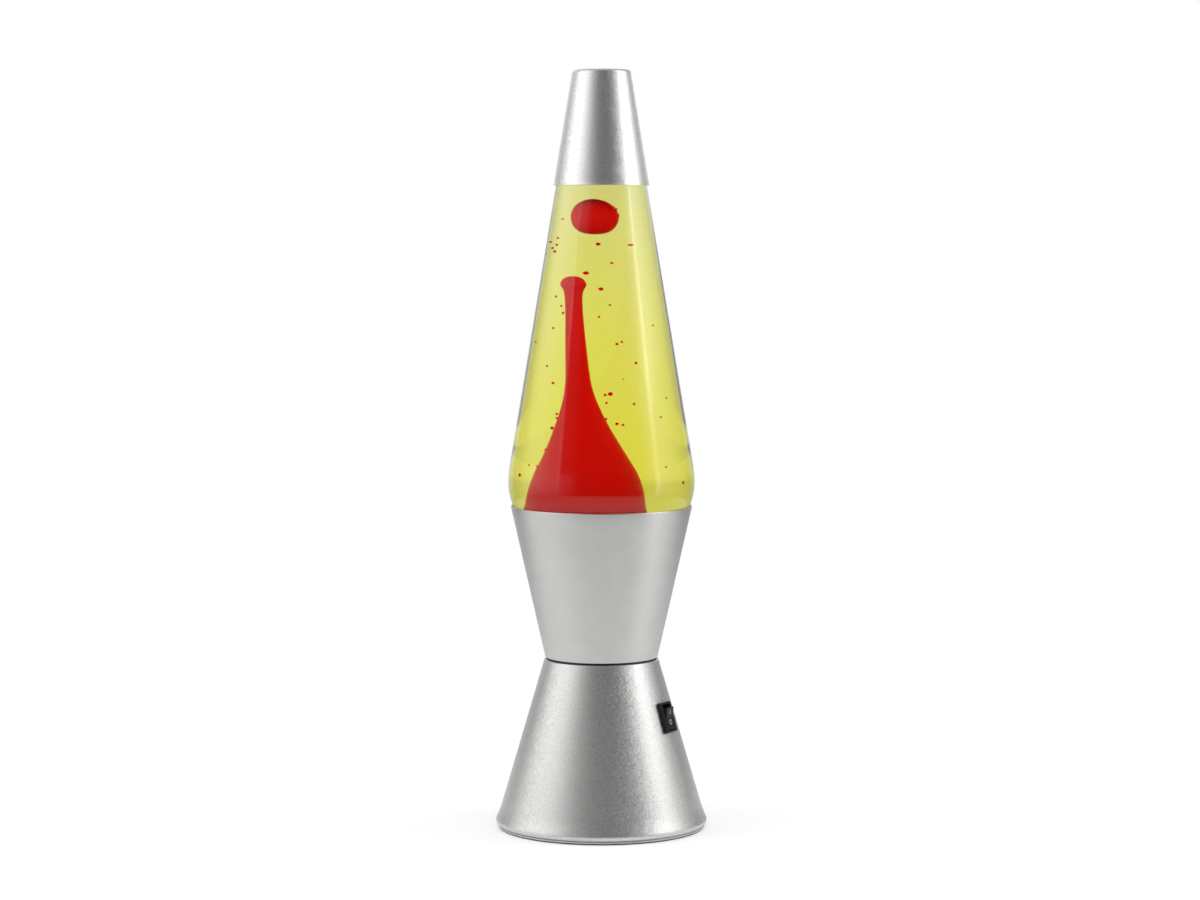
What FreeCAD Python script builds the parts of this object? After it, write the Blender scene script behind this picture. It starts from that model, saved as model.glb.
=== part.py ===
import FreeCAD, Part
import math
import os
import Sketcher

# Liquid motion lamp: a glass bottle of liquid and wax on a two-cone base with a reflector bulb.
# Millimetres. The origin is on the lamp's axis in the plane it stands on, and +Z is up.
# The rocker switch faces +X and the cord bush faces -X.

SIZES = {
    # Lower cone of the base, a spun sheet shell with a flange turned in under it
    "foot_radius": 52.6,
    "flare_height": 9.5,
    "foot_flare": 3.36,
    "base_top_height": 82.6,
    "base_top_radius": 27.75,
    "base_wall": 0.84,
    "foot_round": 2.2,
    "flare_round": 25.0,
    "flange_width": 8.1,
    # Foot ring and bottom cover
    "foot_ring_height": 0.7,
    "foot_ring_inset": 2.8,
    "foot_ring_width": 5.8,
    "cover_sheet": 0.7,
    "cover_inset": 2.2,
    "cover_rim_width": 8.4,
    "cover_dish_height": 4.0,
    "cover_bend": 0.6,
    "vent_inner_radius": 10.0,
    "vent_outer_radius": 22.0,
    "vent_width": 4.0,
    # Upper cone of the base, the bowl that holds the bottle
    "waist_gap": 1.0,
    "waist_step": 0.4,
    "rim_height": 157.4,
    "bowl_wall": 0.72,
    "rim_round": 0.3,
    # Collar that joins the two cones inside the waist
    "collar_reach": 5.0,
    "collar_wall": 1.2,
    "collar_fit": 0.05,
    # Bottle
    "belly_height": 168.6,
    "belly_radius": 45.2,
    "upper_blend": 55.0,
    "lower_blend": 29.0,
    "upper_taper": 0.167,
    "lower_taper": 0.32,
    "heel_round": 6.0,
    "shoulder_round": 4.0,
    "bottle_wall": 2.5,
    "bottle_floor": 3.5,
    "shoulder_length": 8.0,
    "neck_length": 14.0,
    "neck_radius": 11.6,
    "neck_bore": 9.0,
    "lip_radius": 13.2,
    "lip_height": 5.0,
    "bottle_height": 221.0,
    "cap_headroom": 26.0,
    "seat_gap": 0.34,
    # Crown closure of the bottle
    "liner_thickness": 0.6,
    "crown_sheet": 0.3,
    "crown_skirt": 6.0,
    "crown_flare": 0.9,
    "crown_teeth": 21,
    "crown_flute_radius": 1.1,
    # Top cap
    "cap_length": 55.5,
    "lamp_height": 368.0,
    "cap_top_radius": 14.04,
    "cap_wall": 0.8,
    "cap_gap": 0.35,
    "cap_round": 2.5,
    "cap_bead": 0.3,
    # Wax, liquid and the wire ring on the bottle's floor
    "fill_drop": 1.0,
    "wax_bearing": 29.0,
    "mound_skirt_radius": 54.0,
    "mound_waist_height": 150.0,
    "mound_waist_radius": 22.0,
    "mound_dome_round": 125.0,
    "mound_shoulder_height": 190.0,
    "mound_shoulder_radius": 11.8,
    "mound_neck_round": 70.0,
    "column_flare_length": 24.0,
    "column_foot_radius": 4.6,
    "column_radius": 3.05,
    "head_radius": 4.5,
    "head_length": 8.0,
    "head_drop": 50.5,
    "mound_offset": 5.0,
    "mound_depth": 6.0,
    "column_lean": 2.4,
    "blob_radius": 9.9,
    "blob_top_round": 8.2,
    "blob_base_round": 7.2,
    "blob_drop": 22.0,
    "blob_wall_gap": 3.61,
    "blob_bearing": 70.7,
    "blob_clearance": 0.1,
    "bead_radius": 1.3,
    "small_bead_radius": 1.0,
    "wire_ring_radius": 20.0,
    "wire_ring_thickness": 6.0,
    "wire_ring_gap": 0.3,
    # Strap bracket across the inside of the base
    "strap_sheet": 1.2,
    "strap_width": 16.0,
    "strap_height": 34.8,
    "strap_shoulder": 5.45,
    "strap_foot_inset": 0.3,
    "strap_foot_length": 4.0,
    "pillar_inset": 6.0,
    "pillar_width": 7.0,
    "screw_radius": 1.9,
    "screw_clearance": 0.15,
    "screw_head_radius": 3.6,
    "screw_head_height": 1.6,
    "screw_length": 9.0,
    # Lampholder for a small screw cap
    "nipple_radius": 5.0,
    "nipple_bore": 3.7,
    "nipple_fit": 0.08,
    "nipple_drop": 6.0,
    "nipple_gap": 0.2,
    "nut_height": 4.0,
    "nut_width": 14.0,
    "holder_radius": 14.0,
    "holder_collar_step": 1.0,
    "holder_skirt": 16.0,
    "holder_length": 38.0,
    "holder_base": 6.0,
    "holder_web": 3.0,
    "holder_mouth_radius": 9.2,
    "holder_mouth_depth": 3.0,
    "contact_well_radius": 6.4,
    "contact_well_depth": 3.5,
    "bulb_fit": 0.3,
    "shell_wall": 0.4,
    "shell_length": 20.5,
    "contact_sheet": 0.5,
    "contact_rise": 1.65,
    "contact_width": 4.0,
    "lead_hole_radius": 1.3,
    "lead_hole_gap": 1.8,
    "lead_hole_y": 4.5,
    # Reflector bulb
    "bulb_gap": 0.35,
    "bulb_length": 66.0,
    "bulb_radius": 19.5,
    "bulb_neck_radius": 8.8,
    "bulb_neck_height": 33.0,
    "bulb_band": 5.0,
    "bulb_face_rise": 5.0,
    "cement_gap": 0.1,
    "bulb_reflector_round": 34.0,
    "bulb_wall": 0.8,
    "bulb_cap_radius": 6.7,
    "bulb_cap_wall": 0.4,
    "bulb_cap_foot": 4.4,
    "bulb_cap_height": 25.0,
    "bulb_contact_radius": 2.6,
    "bulb_contact_height": 1.4,
    "stem_rod_radius": 1.9,
    "stem_height": 39.0,
    "filament_height": 48.0,
    "filament_half_width": 6.5,
    "filament_wire": 0.6,
    # Terminal block under the strap
    "block_length": 16.0,
    "block_wall": 0.7,
    "block_height": 11.0,
    "block_offset": 3.5,
    "block_pole_pitch": 8.2,
    "block_lead_drop": 6.8,
    "block_bore_radius": 2.3,
    "insert_wall": 0.7,
    "insert_fit": 0.05,
    "clamp_screw_radius": 1.3,
    "clamp_screw_place": 3.6,
    "clamp_screw_drop": 0.4,
    "block_screw_radius": 1.45,
    "block_screw_length": 5.0,
    "block_screw_head_radius": 2.7,
    "block_screw_head_height": 1.3,
    # Cord bush at the rear
    "bush_height": 14.0,
    "bush_bore": 3.3,
    "bush_radius": 4.55,
    "bush_hole_clearance": 0.15,
    "bush_flange_step": 1.45,
    "bush_flange_height": 1.6,
    "bush_depth": 5.0,
    "bush_barb_step": 0.65,
    "bush_barb_depth": 1.5,
    # Rocker switch
    "switch_height": 56.0,
    "bezel_end_rim": 0.9,
    "bezel_side_rim": 1.0,
    "bezel_height": 2.0,
    "bezel_round": 0.8,
    "body_length": 13.2,
    "body_width": 8.5,
    "body_depth": 10.5,
    "panel_clearance": 0.2,
    "cavity_end_wall": 0.3,
    "cavity_side_wall": 0.65,
    "switch_floor": 1.2,
    "ear_height": 0.5,
    "ear_length": 2.6,
    "ear_start": 1.35,
    "rocker_end_gap": 1.0,
    "rocker_side_gap": 0.2,
    "rocker_pivot_depth": 1.2,
    "rocker_crown": 3.4,
    "rocker_half_angle": 10.5,
    "rocker_side": 0.6,
    "rocker_keel": 2.6,
    "rocker_keel_half_length": 2.4,
    "pivot_pin_radius": 0.9,
    "pivot_fit": 0.05,
    "plunger_radius": 0.85,
    "plunger_fit": 0.1,
    "plunger_gap": 0.4,
    "plunger_length": 4.0,
    "plunger_bore_depth": 1.6,
    "bridge_pivot_depth": 7.0,
    "bridge_length": 8.0,
    "bridge_width": 3.0,
    "bridge_sheet": 0.4,
    "bridge_gap": 0.15,
    "bridge_ratio": 0.75,
    "tab_width": 2.8,
    "tab_sheet": 0.5,
    "tab_depth": 16.0,
    "tab_slot_clearance": 0.1,
    "end_tab_place": 3.65,
    "end_contact_drop": 0.95,
    # Internal leads
    "lead_radius": 0.9,
    "lead_exit": 7.0,
    "lead_long_exit": 11.0,
    "lead_slant": 4.6,
    "lead_climb": 12.0,
    "lead_reach": 8.1,
    "lead_long_reach": 11.6,
    "lead_loop_height": 16.0,
    "lead_loop_width": 11.2,
    "lead_loop_side": 5.2,
    "lead_loop_rise": 1.5,
}


class Size:
    """A size that keeps both its number and the spreadsheet formula that gives it."""

    def __init__(self, value, formula):
        self.value = value
        self.formula = formula

    def join(self, other, sign, value, swap=False):
        text = other.formula if isinstance(other, Size) else repr(other)
        left, right = (text, self.formula) if swap else (self.formula, text)
        return Size(value, f"({left} {sign} {right})")

    def __add__(self, other):
        return self.join(other, "+", self.value + number(other))

    def __radd__(self, other):
        return self.join(other, "+", number(other) + self.value, swap=True)

    def __sub__(self, other):
        return self.join(other, "-", self.value - number(other))

    def __rsub__(self, other):
        return self.join(other, "-", number(other) - self.value, swap=True)

    def __mul__(self, other):
        return self.join(other, "*", self.value * number(other))

    def __rmul__(self, other):
        return self.join(other, "*", number(other) * self.value, swap=True)

    def __truediv__(self, other):
        return self.join(other, "/", self.value / number(other))

    def __rtruediv__(self, other):
        return self.join(other, "/", number(other) / self.value, swap=True)

    def __neg__(self):
        return Size(-self.value, f"(-1 * {self.formula})")


def number(size):
    return size.value if isinstance(size, Size) else size


def square_root(size):
    return Size(math.sqrt(size.value), f"sqrt({size.formula})")


doc = FreeCAD.newDocument("MotionLamp")
sheet = doc.addObject("Spreadsheet::Sheet", "Sizes")
for row, (alias, value) in enumerate(SIZES.items(), start=1):
    sheet.set(f"A{row}", alias)
    sheet.set(f"B{row}", str(value))
    sheet.setAlias(f"B{row}", alias)
doc.recompute()
D = {alias: Size(value, f"Sizes.{alias}") for alias, value in SIZES.items()}

PARTS = {}


def keep(label, sub_part):
    """Names a finished sub-part, whose label is also its file's name."""
    sub_part.Label = label
    PARTS[label] = sub_part
    return sub_part


def bind(thing, prop, size):
    """Sets a property from a size, and ties it to the spreadsheet."""
    if isinstance(size, Size):
        thing.setExpression(prop, size.formula)
    else:
        setattr(thing, prop, size)


def sketch_in(body, role, name):
    """A sketch on one of the body's own origin planes."""
    plane = next(f for f in body.Origin.OriginFeatures if f.Role == role)
    sketch = body.newObject("Sketcher::SketchObject", name)
    sketch.AttachmentSupport = [(plane, "")]
    sketch.MapMode = "FlatFace"
    return sketch


def arc_middle(start, end, bend):
    """The middle of an arc of under a half circle that bulges to the right of travel for bend > 0."""
    chord = end - start
    half = chord.Length / 2
    rise = abs(bend) - math.sqrt(bend**2 - half**2)
    side = FreeCAD.Vector(chord.y, -chord.x, 0).normalize()
    return (start + end) / 2 + side * math.copysign(rise, bend)


def fix(sketch, kind, where, size):
    """One dimension of a sketch, tied to the spreadsheet where it is a size."""
    index = sketch.addConstraint(Sketcher.Constraint(kind, *where, number(size)))
    if isinstance(size, Size):
        sketch.setExpression(f"Constraints[{index}]", size.formula)


def draw_loop(sketch, corners):
    """A closed outline through (x, y) corners. A third value is the radius of an arc to the next corner,
    positive where the arc bulges to the right of travel."""
    points = [FreeCAD.Vector(number(c[0]), number(c[1]), 0) for c in corners]
    edges = []
    for i, corner in enumerate(corners):
        start, end = points[i], points[(i + 1) % len(points)]
        bend = corner[2] if len(corner) > 2 else None
        if bend is None:
            edge = sketch.addGeometry(Part.LineSegment(start, end), False)
        else:
            middle = arc_middle(start, end, number(bend))
            edge = sketch.addGeometry(Part.Arc(start, middle, end), False)
        first = 1 if (sketch.getPoint(edge, 1) - start).Length < 1e-4 else 2
        edges.append((edge, first, 3 - first))
        if bend is not None:
            radius = bend if number(bend) > 0 else -bend
            fix(sketch, "Radius", (edge,), radius)
    for i, (edge, first, last) in enumerate(edges):
        after, after_first, _ = edges[(i + 1) % len(edges)]
        sketch.addConstraint(Sketcher.Constraint("Coincident", edge, last, after, after_first))
        fix(sketch, "DistanceX", (-1, 1, edge, first), corners[i][0])
        fix(sketch, "DistanceY", (-1, 1, edge, first), corners[i][1])


def backwards(corners):
    """An open run of corners travelled the other way."""
    turned = []
    for i in range(len(corners) - 1, -1, -1):
        bends = corners[i - 1][2:] if i > 0 else ()
        turned.append((corners[i][0], corners[i][1], *(-bend for bend in bends)))
    return turned


def draw_circle(sketch, x, y, radius):
    centre = FreeCAD.Vector(number(x), number(y), 0)
    edge = sketch.addGeometry(Part.Circle(centre, FreeCAD.Vector(0, 0, 1), number(radius)), False)
    fix(sketch, "Radius", (edge,), radius)
    fix(sketch, "DistanceX", (-1, 1, edge, 3), x)
    fix(sketch, "DistanceY", (-1, 1, edge, 3), y)


def box_corners(x_low, y_low, x_high, y_high):
    return [(x_low, y_low), (x_high, y_low), (x_high, y_high), (x_low, y_high)]


def new_body(name):
    return doc.addObject("PartDesign::Body", name)


def turn_profile(body, corners, name="Turned", role="XZ_Plane"):
    """Turns an outline of (radius, height) corners about the body's Z axis."""
    sketch = sketch_in(body, role, name + "Outline")
    draw_loop(sketch, corners)
    turned = body.newObject("PartDesign::Revolution", name)
    turned.Profile = sketch
    turned.ReferenceAxis = (sketch, ["V_Axis"])
    turned.Angle = 360
    doc.recompute()
    return turned


def turned_body(name, corners):
    body = new_body(name)
    turn_profile(body, corners, name + "Turned")
    return body


def extrude(body, kind, role, name, draw, length, symmetric=True, reverse=False):
    """Pads or pockets what draw puts in a sketch on an origin plane."""
    sketch = sketch_in(body, role, name + "Outline")
    draw(sketch)
    feature = body.newObject("PartDesign::" + kind, name)
    feature.Profile = sketch
    feature.SideType = "Symmetric" if symmetric else "One side"
    feature.Reversed = reverse
    bind(feature, "Length", length)
    before = body.Shape.Volume if kind == "Pocket" else 0
    doc.recompute()
    if kind == "Pocket" and not feature.Shape.Volume < before - 1e-6:
        raise RuntimeError(f"{name} cuts nothing")
    return feature


def round_rims(body, radius, rims, name):
    """Rounds the circular edges that lie at the given (radius, height) places."""
    base = body.Tip
    names = []
    for r, z in rims:
        for i, edge in enumerate(base.Shape.Edges, start=1):
            curve = edge.Curve
            if not isinstance(curve, Part.Circle):
                continue
            if abs(curve.Radius - number(r)) < 0.02 and abs(curve.Center.z - number(z)) < 0.02:
                names.append(f"Edge{i}")
    if len(names) < len(rims):
        raise RuntimeError(f"{name} found {len(names)} of {len(rims)} rims")
    fillet = body.newObject("PartDesign::Fillet", name)
    fillet.Base = (base, names)
    bind(fillet, "Radius", radius)
    doc.recompute()
    return fillet


def solid(kind, name, **sizes):
    """A primitive solid whose properties come from sizes."""
    primitive = doc.addObject("Part::" + kind, name)
    for prop, size in sizes.items():
        bind(primitive, prop, size)
    return primitive


def put(thing, x=0, y=0, z=0, turn=None):
    """Places a solid at x, y, z, after an optional rotation."""
    if turn is not None:
        thing.Placement = FreeCAD.Placement(FreeCAD.Vector(), turn)
    for axis, size in zip("xyz", (x, y, z)):
        if isinstance(size, Size):
            thing.setExpression(f"Placement.Base.{axis}", size.formula)
        elif size:
            spot = thing.Placement
            base = spot.Base
            setattr(base, axis, size)
            thing.Placement = FreeCAD.Placement(base, spot.Rotation)
    return thing


def cylinder(name, radius, height, x=0, y=0, z=0, turn=None):
    return put(solid("Cylinder", name, Radius=radius, Height=height), x, y, z, turn)


def cut(name, base, tool):
    result = doc.addObject("Part::Cut", name)
    result.Base = base
    result.Tool = tool
    return result


def fuse(name, *shapes):
    result = doc.addObject("Part::MultiFuse", name)
    result.Shapes = list(shapes)
    return result


def group(name, *shapes):
    """Separate solids that share one sub-part."""
    result = doc.addObject("Part::Compound", name)
    result.Links = list(shapes)
    return result


def pan_screw(name, radius, length, head_radius, head_height, x, y, z, upward):
    """A pan-head screw whose head's seat is at z, with its shank upward or downward."""
    down = FreeCAD.Rotation(FreeCAD.Vector(1, 0, 0), 180)
    shank = cylinder(name + "Shank", radius, length, x, y, z, None if upward else down)
    head = cylinder(name + "Head", head_radius, head_height, x, y, z, down if upward else None)
    return fuse(name, shank, head)


def tube(label, points, radius):
    """A lead through straight runs joined by tangent arcs, as large as the runs allow."""
    points = [FreeCAD.Vector(*(number(p) for p in point)) for point in points]
    radius = number(radius)
    edges, start = [], points[0]
    for i in range(1, len(points) - 1):
        before, corner, after = points[i - 1], points[i], points[i + 1]
        into, out = corner - before, after - corner
        half_turn = into.getAngle(out) / 2
        shorter = min(into.Length, out.Length)
        setback = 0.45 * shorter
        print(f"{label}: bend {i} radius {setback / math.tan(half_turn):.1f}")
        to_corner, from_corner = into.normalize(), out.normalize()
        first, last = corner - to_corner * setback, corner + from_corner * setback
        inward = (from_corner - to_corner).normalize()
        radius_here = setback / math.tan(half_turn)
        centre = corner + inward * (radius_here / math.cos(half_turn))
        middle = centre - inward * radius_here
        edges.append(Part.LineSegment(start, first).toShape())
        edges.append(Part.Arc(first, middle, last).toShape())
        start = last
    edges.append(Part.LineSegment(start, points[-1]).toShape())
    path = Part.Wire(edges)
    ring = Part.Wire(Part.Circle(points[0], points[1] - points[0], radius).toShape())
    swept = path.makePipeShell([ring], True, False)
    expected = math.pi * radius**2 * path.Length
    print(f"{label}: length {path.Length:.1f}, volume {swept.Volume / expected:.4f} of section x length")
    lead = doc.addObject("Part::Feature", label)
    lead.Shape = swept
    return lead


# Heights and radii that pieces share
cover_top = D["foot_ring_height"] + D["cover_sheet"]
flange_top = cover_top + D["base_wall"]
dish_top = D["cover_dish_height"] + D["cover_sheet"]
flare_radius = D["foot_radius"] - D["foot_flare"]
flange_inner_radius = D["foot_radius"] - D["flange_width"]
cover_radius = D["foot_radius"] - D["cover_inset"]
cover_dish_radius = cover_radius - D["cover_rim_width"]
ring_outside = D["foot_radius"] - D["foot_ring_inset"]
ring_inside = ring_outside - D["foot_ring_width"]
base_taper = (flare_radius - D["base_top_radius"]) / (D["base_top_height"] - D["flare_height"])
strap_top = D["strap_height"] + D["strap_sheet"]
bowl_foot = D["base_top_height"] + D["waist_gap"]
bowl_foot_radius = D["base_top_radius"] - D["waist_step"]
bottle_top = D["lamp_height"] - D["cap_headroom"]
bottle_foot = bottle_top - D["bottle_height"]
bottle_inner_floor = bottle_foot + D["bottle_floor"]
neck_foot = bottle_top - D["neck_length"]
shoulder_height = neck_foot - D["shoulder_length"]
fill_height = shoulder_height - D["fill_drop"]
cap_lip_height = D["lamp_height"] - D["cap_length"]


def base_outside(height):
    """Outer radius of the lower cone above its flare."""
    return D["base_top_radius"] + base_taper * (D["base_top_height"] - height)


def slope_cosine(slope):
    return 1 / square_root(1 + slope * slope)


upper_cosine = slope_cosine(D["upper_taper"])
lower_cosine = slope_cosine(D["lower_taper"])


def bottle_upper(height, inset=0):
    """Radius of the bottle's upper cone at a height, at a distance inside its outer face."""
    blend = D["upper_blend"] - inset
    tangent_radius = D["belly_radius"] - D["upper_blend"] + blend * upper_cosine
    tangent_height = D["belly_height"] + blend * upper_cosine * D["upper_taper"]
    return tangent_radius - D["upper_taper"] * (height - tangent_height)


def bottle_lower(height, inset=0):
    """The same for the lower cone, under the belly."""
    blend = D["lower_blend"] - inset
    tangent_radius = D["belly_radius"] - D["lower_blend"] + blend * lower_cosine
    tangent_height = D["belly_height"] - blend * lower_cosine * D["lower_taper"]
    return tangent_radius - D["lower_taper"] * (tangent_height - height)


def bottle_corners(inset, floor, top):
    """The bottle's half outline from its floor, up past the belly, to a height on the upper cone."""
    upper, lower = D["upper_blend"] - inset, D["lower_blend"] - inset
    upper_rise = upper * upper_cosine * D["upper_taper"]
    lower_drop = lower * lower_cosine * D["lower_taper"]
    return [
        (0, floor),
        (bottle_lower(floor, inset), floor),
        (D["belly_radius"] - D["lower_blend"] + lower * lower_cosine, D["belly_height"] - lower_drop, lower),
        (D["belly_radius"] - inset, D["belly_height"], upper),
        (D["belly_radius"] - D["upper_blend"] + upper * upper_cosine, D["belly_height"] + upper_rise),
        (bottle_upper(top, inset), top),
    ]


rim_inside = bottle_lower(D["rim_height"]) + D["seat_gap"]
rim_outside = rim_inside + D["bowl_wall"]
bowl_taper = (rim_outside - bowl_foot_radius) / (D["rim_height"] - bowl_foot)
strap_half_span = base_outside(strap_top) - D["strap_shoulder"]
strap_foot = flange_inner_radius + D["strap_foot_inset"]
pillar_place = strap_half_span - D["pillar_inset"]
block_place = D["holder_radius"] + D["block_offset"]


# Base: the two spun cones, the collar between them, the cover and the foot ring
wall = D["base_wall"]
shell_blank = turned_body("BaseBlank", [
    (flange_inner_radius, cover_top),
    (D["foot_radius"], cover_top),
    (flare_radius, D["flare_height"]),
    (D["base_top_radius"], D["base_top_height"]),
    (D["base_top_radius"] - wall, D["base_top_height"]),
    (flare_radius - wall, D["flare_height"]),
    (D["foot_radius"] - 1.5 * wall, flange_top),
    (flange_inner_radius, flange_top),
])
round_rims(shell_blank, D["foot_round"], [(D["foot_radius"], cover_top)], "FootRound")
round_rims(shell_blank, D["foot_round"] - wall, [(D["foot_radius"] - 1.5 * wall, flange_top)], "FootInnerRound")
flare_rims = [(flare_radius, D["flare_height"]), (flare_radius - wall, D["flare_height"])]
round_rims(shell_blank, D["flare_round"], flare_rims, "FlareRound")
round_rims(shell_blank, wall / 2.2, [(D["base_top_radius"], D["base_top_height"])], "WaistEdge")

# Frames that stand square to the cone: local Z points out, local X points up the slope
lean = math.atan(base_taper.value)


def on_cone(height, front):
    """A frame on the lower cone's face at a height, facing +X in front or -X behind."""
    out = FreeCAD.Vector(math.cos(lean) if front else -math.cos(lean), 0, math.sin(lean))
    up = FreeCAD.Vector(-math.sin(lean) if front else math.sin(lean), 0, math.cos(lean))
    spot = FreeCAD.Vector(base_outside(height).value * (1 if front else -1), 0, height.value)
    return FreeCAD.Placement(spot, FreeCAD.Rotation(up, out.cross(up), out, "ZXY"))


switch_frame = on_cone(D["switch_height"], True)
bush_frame = on_cone(D["bush_height"], False)


def in_frame(frame, x=0, y=0, z=0, turn=None):
    """A placement at x, y, z in a frame, with an optional turn of its own."""
    spot = FreeCAD.Vector(number(x), number(y), number(z))
    return frame.multiply(FreeCAD.Placement(spot, turn or FreeCAD.Rotation()))


panel_length = D["body_length"] + 2 * D["panel_clearance"]
panel_width = D["body_width"] + 2 * D["panel_clearance"]
panel_cutter = solid("Box", "PanelCutter", Length=panel_length, Width=panel_width, Height=8 * wall)
panel_cutter.Placement = in_frame(switch_frame, panel_length / -2, panel_width / -2, wall * -5)
bush_cutter = solid("Cylinder", "BushCutter", Radius=D["bush_radius"] + D["bush_hole_clearance"], Height=8 * wall)
bush_cutter.Placement = in_frame(bush_frame, z=wall * -5)
keep("base_shell", cut("BaseShell", shell_blank, fuse("BaseCutters", panel_cutter, bush_cutter)))

bowl = keep("bowl", turned_body("Bowl", [
    (bowl_foot_radius - D["bowl_wall"], bowl_foot),
    (bowl_foot_radius, bowl_foot),
    (rim_outside, D["rim_height"]),
    (rim_inside, D["rim_height"]),
]))
round_rims(bowl, D["rim_round"], [(rim_outside, D["rim_height"]), (rim_inside, D["rim_height"])], "RimRound")

collar_low = D["base_top_height"] - D["collar_reach"]
collar_high = bowl_foot + D["collar_reach"]
collar_low_radius = base_outside(collar_low) - wall - D["collar_fit"]
collar_high_radius = bowl_foot_radius + bowl_taper * D["collar_reach"] - D["bowl_wall"] - D["collar_fit"]
collar_waist_low = D["base_top_radius"] - wall - D["collar_fit"]
collar_waist_high = bowl_foot_radius - D["bowl_wall"] - D["collar_fit"]
thick = D["collar_wall"]
keep("waist_collar", turned_body("WaistCollar", [
    (collar_low_radius - thick, collar_low),
    (collar_low_radius, collar_low),
    (collar_waist_low, D["base_top_height"]),
    (collar_waist_high, bowl_foot),
    (collar_high_radius, collar_high),
    (collar_high_radius - thick, collar_high),
    (collar_waist_high - thick, bowl_foot),
    (collar_waist_low - thick, D["base_top_height"]),
]))

cover = keep("bottom_cover", turned_body("BottomCover", [
    (0, D["cover_dish_height"]),
    (cover_dish_radius - D["cover_sheet"], D["cover_dish_height"]),
    (cover_dish_radius - D["cover_sheet"], D["foot_ring_height"]),
    (cover_radius, D["foot_ring_height"]),
    (cover_radius, cover_top),
    (cover_dish_radius, cover_top),
    (cover_dish_radius, dish_top),
    (0, dish_top),
]))
round_rims(cover, D["cover_bend"], [(cover_dish_radius, dish_top)], "DishBend")
vent = extrude(
    cover, "Pocket", "XY_Plane", "Vent",
    lambda s: draw_loop(s, box_corners(
        D["vent_inner_radius"], D["vent_width"] / -2, D["vent_outer_radius"], D["vent_width"] / 2)),
    4 * dish_top,
)
vents = cover.newObject("PartDesign::PolarPattern", "Vents")
vents.Originals = [vent]
vents.Axis = (vent.Profile[0], ["N_Axis"])
vents.Angle = 360
vents.Occurrences = 8
cover.Tip = vents
doc.recompute()


def draw_pillar_holes(sketch):
    for side in (1, -1):
        draw_circle(sketch, 0, side * pillar_place, D["screw_radius"] + D["screw_clearance"])


extrude(cover, "Pocket", "XY_Plane", "CoverHoles", draw_pillar_holes, 4 * dish_top)

keep("foot_ring", turned_body("FootRing", [
    (ring_inside, 0),
    (ring_outside, 0),
    (ring_outside, D["foot_ring_height"]),
    (ring_inside, D["foot_ring_height"]),
]))


# The strap bracket stands on the flange, and its pillars carry the cover
strap = keep("socket_bracket", new_body("Strap"))
foot_end = strap_foot + D["strap_foot_length"]
bend = 1.03 * D["strap_sheet"]


def draw_strap(sketch):
    half = [
        (strap_half_span - bend, D["strap_height"]),
        (strap_foot, flange_top),
        (foot_end, flange_top),
        (foot_end, flange_top + D["strap_sheet"]),
        (strap_foot + bend, flange_top + D["strap_sheet"]),
        (strap_half_span, strap_top),
    ]
    draw_loop(sketch, half + [(-y, z) for y, z in reversed(half)])


extrude(strap, "Pad", "YZ_Plane", "StrapPad", draw_strap, D["strap_width"])


def draw_strap_holes(sketch):
    draw_circle(sketch, 0, 0, D["nipple_radius"] + D["nipple_fit"])
    draw_circle(sketch, 0, block_place, D["block_screw_radius"] + D["screw_clearance"])
    draw_pillar_holes(sketch)


extrude(strap, "Pocket", "XY_Plane", "StrapHoles", draw_strap_holes, 4 * strap_top)

pillars, cover_screws, pillar_screws = [], [], []
for side, name in ((1, "Left"), (-1, "Right")):
    place = side * pillar_place
    hexagon = solid("Prism", f"{name}Hexagon", Circumradius=D["pillar_width"] / math.sqrt(3),
                    Height=D["strap_height"] - dish_top)
    hexagon.Polygon = 6
    put(hexagon, 0, place, dish_top)
    thread = cylinder(f"{name}Thread", D["screw_radius"] + D["nipple_fit"], D["strap_height"], 0, place)
    pillars.append(cut(f"{name}Pillar", hexagon, thread))
    screw = (D["screw_radius"], D["screw_length"], D["screw_head_radius"], D["screw_head_height"], 0, place)
    cover_screws.append(pan_screw(f"{name}CoverScrew", *screw, D["cover_dish_height"], True))
    pillar_screws.append(pan_screw(f"{name}PillarScrew", *screw, strap_top, False))
keep("cover_pillars", group("CoverPillars", *pillars))
keep("cover_screws", group("CoverScrews", *cover_screws))
keep("pillar_screws", group("PillarScrews", *pillar_screws))


# Lampholder on a threaded nipple
holder_top = strap_top + D["holder_length"]
web_bottom = strap_top + D["holder_base"]
nipple_top = web_bottom - D["nipple_gap"]
well_floor = web_bottom + D["holder_web"]
shell_foot = well_floor + D["contact_well_depth"]
shell_radius = D["bulb_cap_radius"] + D["bulb_fit"]
bore = shell_radius + D["shell_wall"] + D["nipple_fit"]
lead_hole_x = D["strap_width"] / 2 + D["lead_hole_gap"]
skirt_top = strap_top + D["holder_skirt"]
collar_step = D["holder_collar_step"]
collar_radius = D["holder_radius"] - collar_step
holder = keep("socket_body", turned_body("SocketBody", [
    (D["nipple_radius"] + D["nipple_fit"], strap_top),
    (D["holder_radius"], strap_top),
    (D["holder_radius"], skirt_top),
    (collar_radius, skirt_top + collar_step),
    (collar_radius, holder_top),
    (D["holder_mouth_radius"], holder_top),
    (D["holder_mouth_radius"], holder_top - D["holder_mouth_depth"]),
    (bore, holder_top - D["holder_mouth_depth"]),
    (bore, shell_foot),
    (D["contact_well_radius"], shell_foot),
    (D["contact_well_radius"], well_floor),
    (0, well_floor),
    (0, web_bottom),
    (D["nipple_radius"] + D["nipple_fit"], web_bottom),
]))


def draw_lead_holes(sketch):
    for side in (1, -1):
        draw_circle(sketch, lead_hole_x, side * D["lead_hole_y"], D["lead_hole_radius"])


extrude(holder, "Pocket", "XY_Plane", "LeadHoles", draw_lead_holes, web_bottom, symmetric=False, reverse=True)

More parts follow.
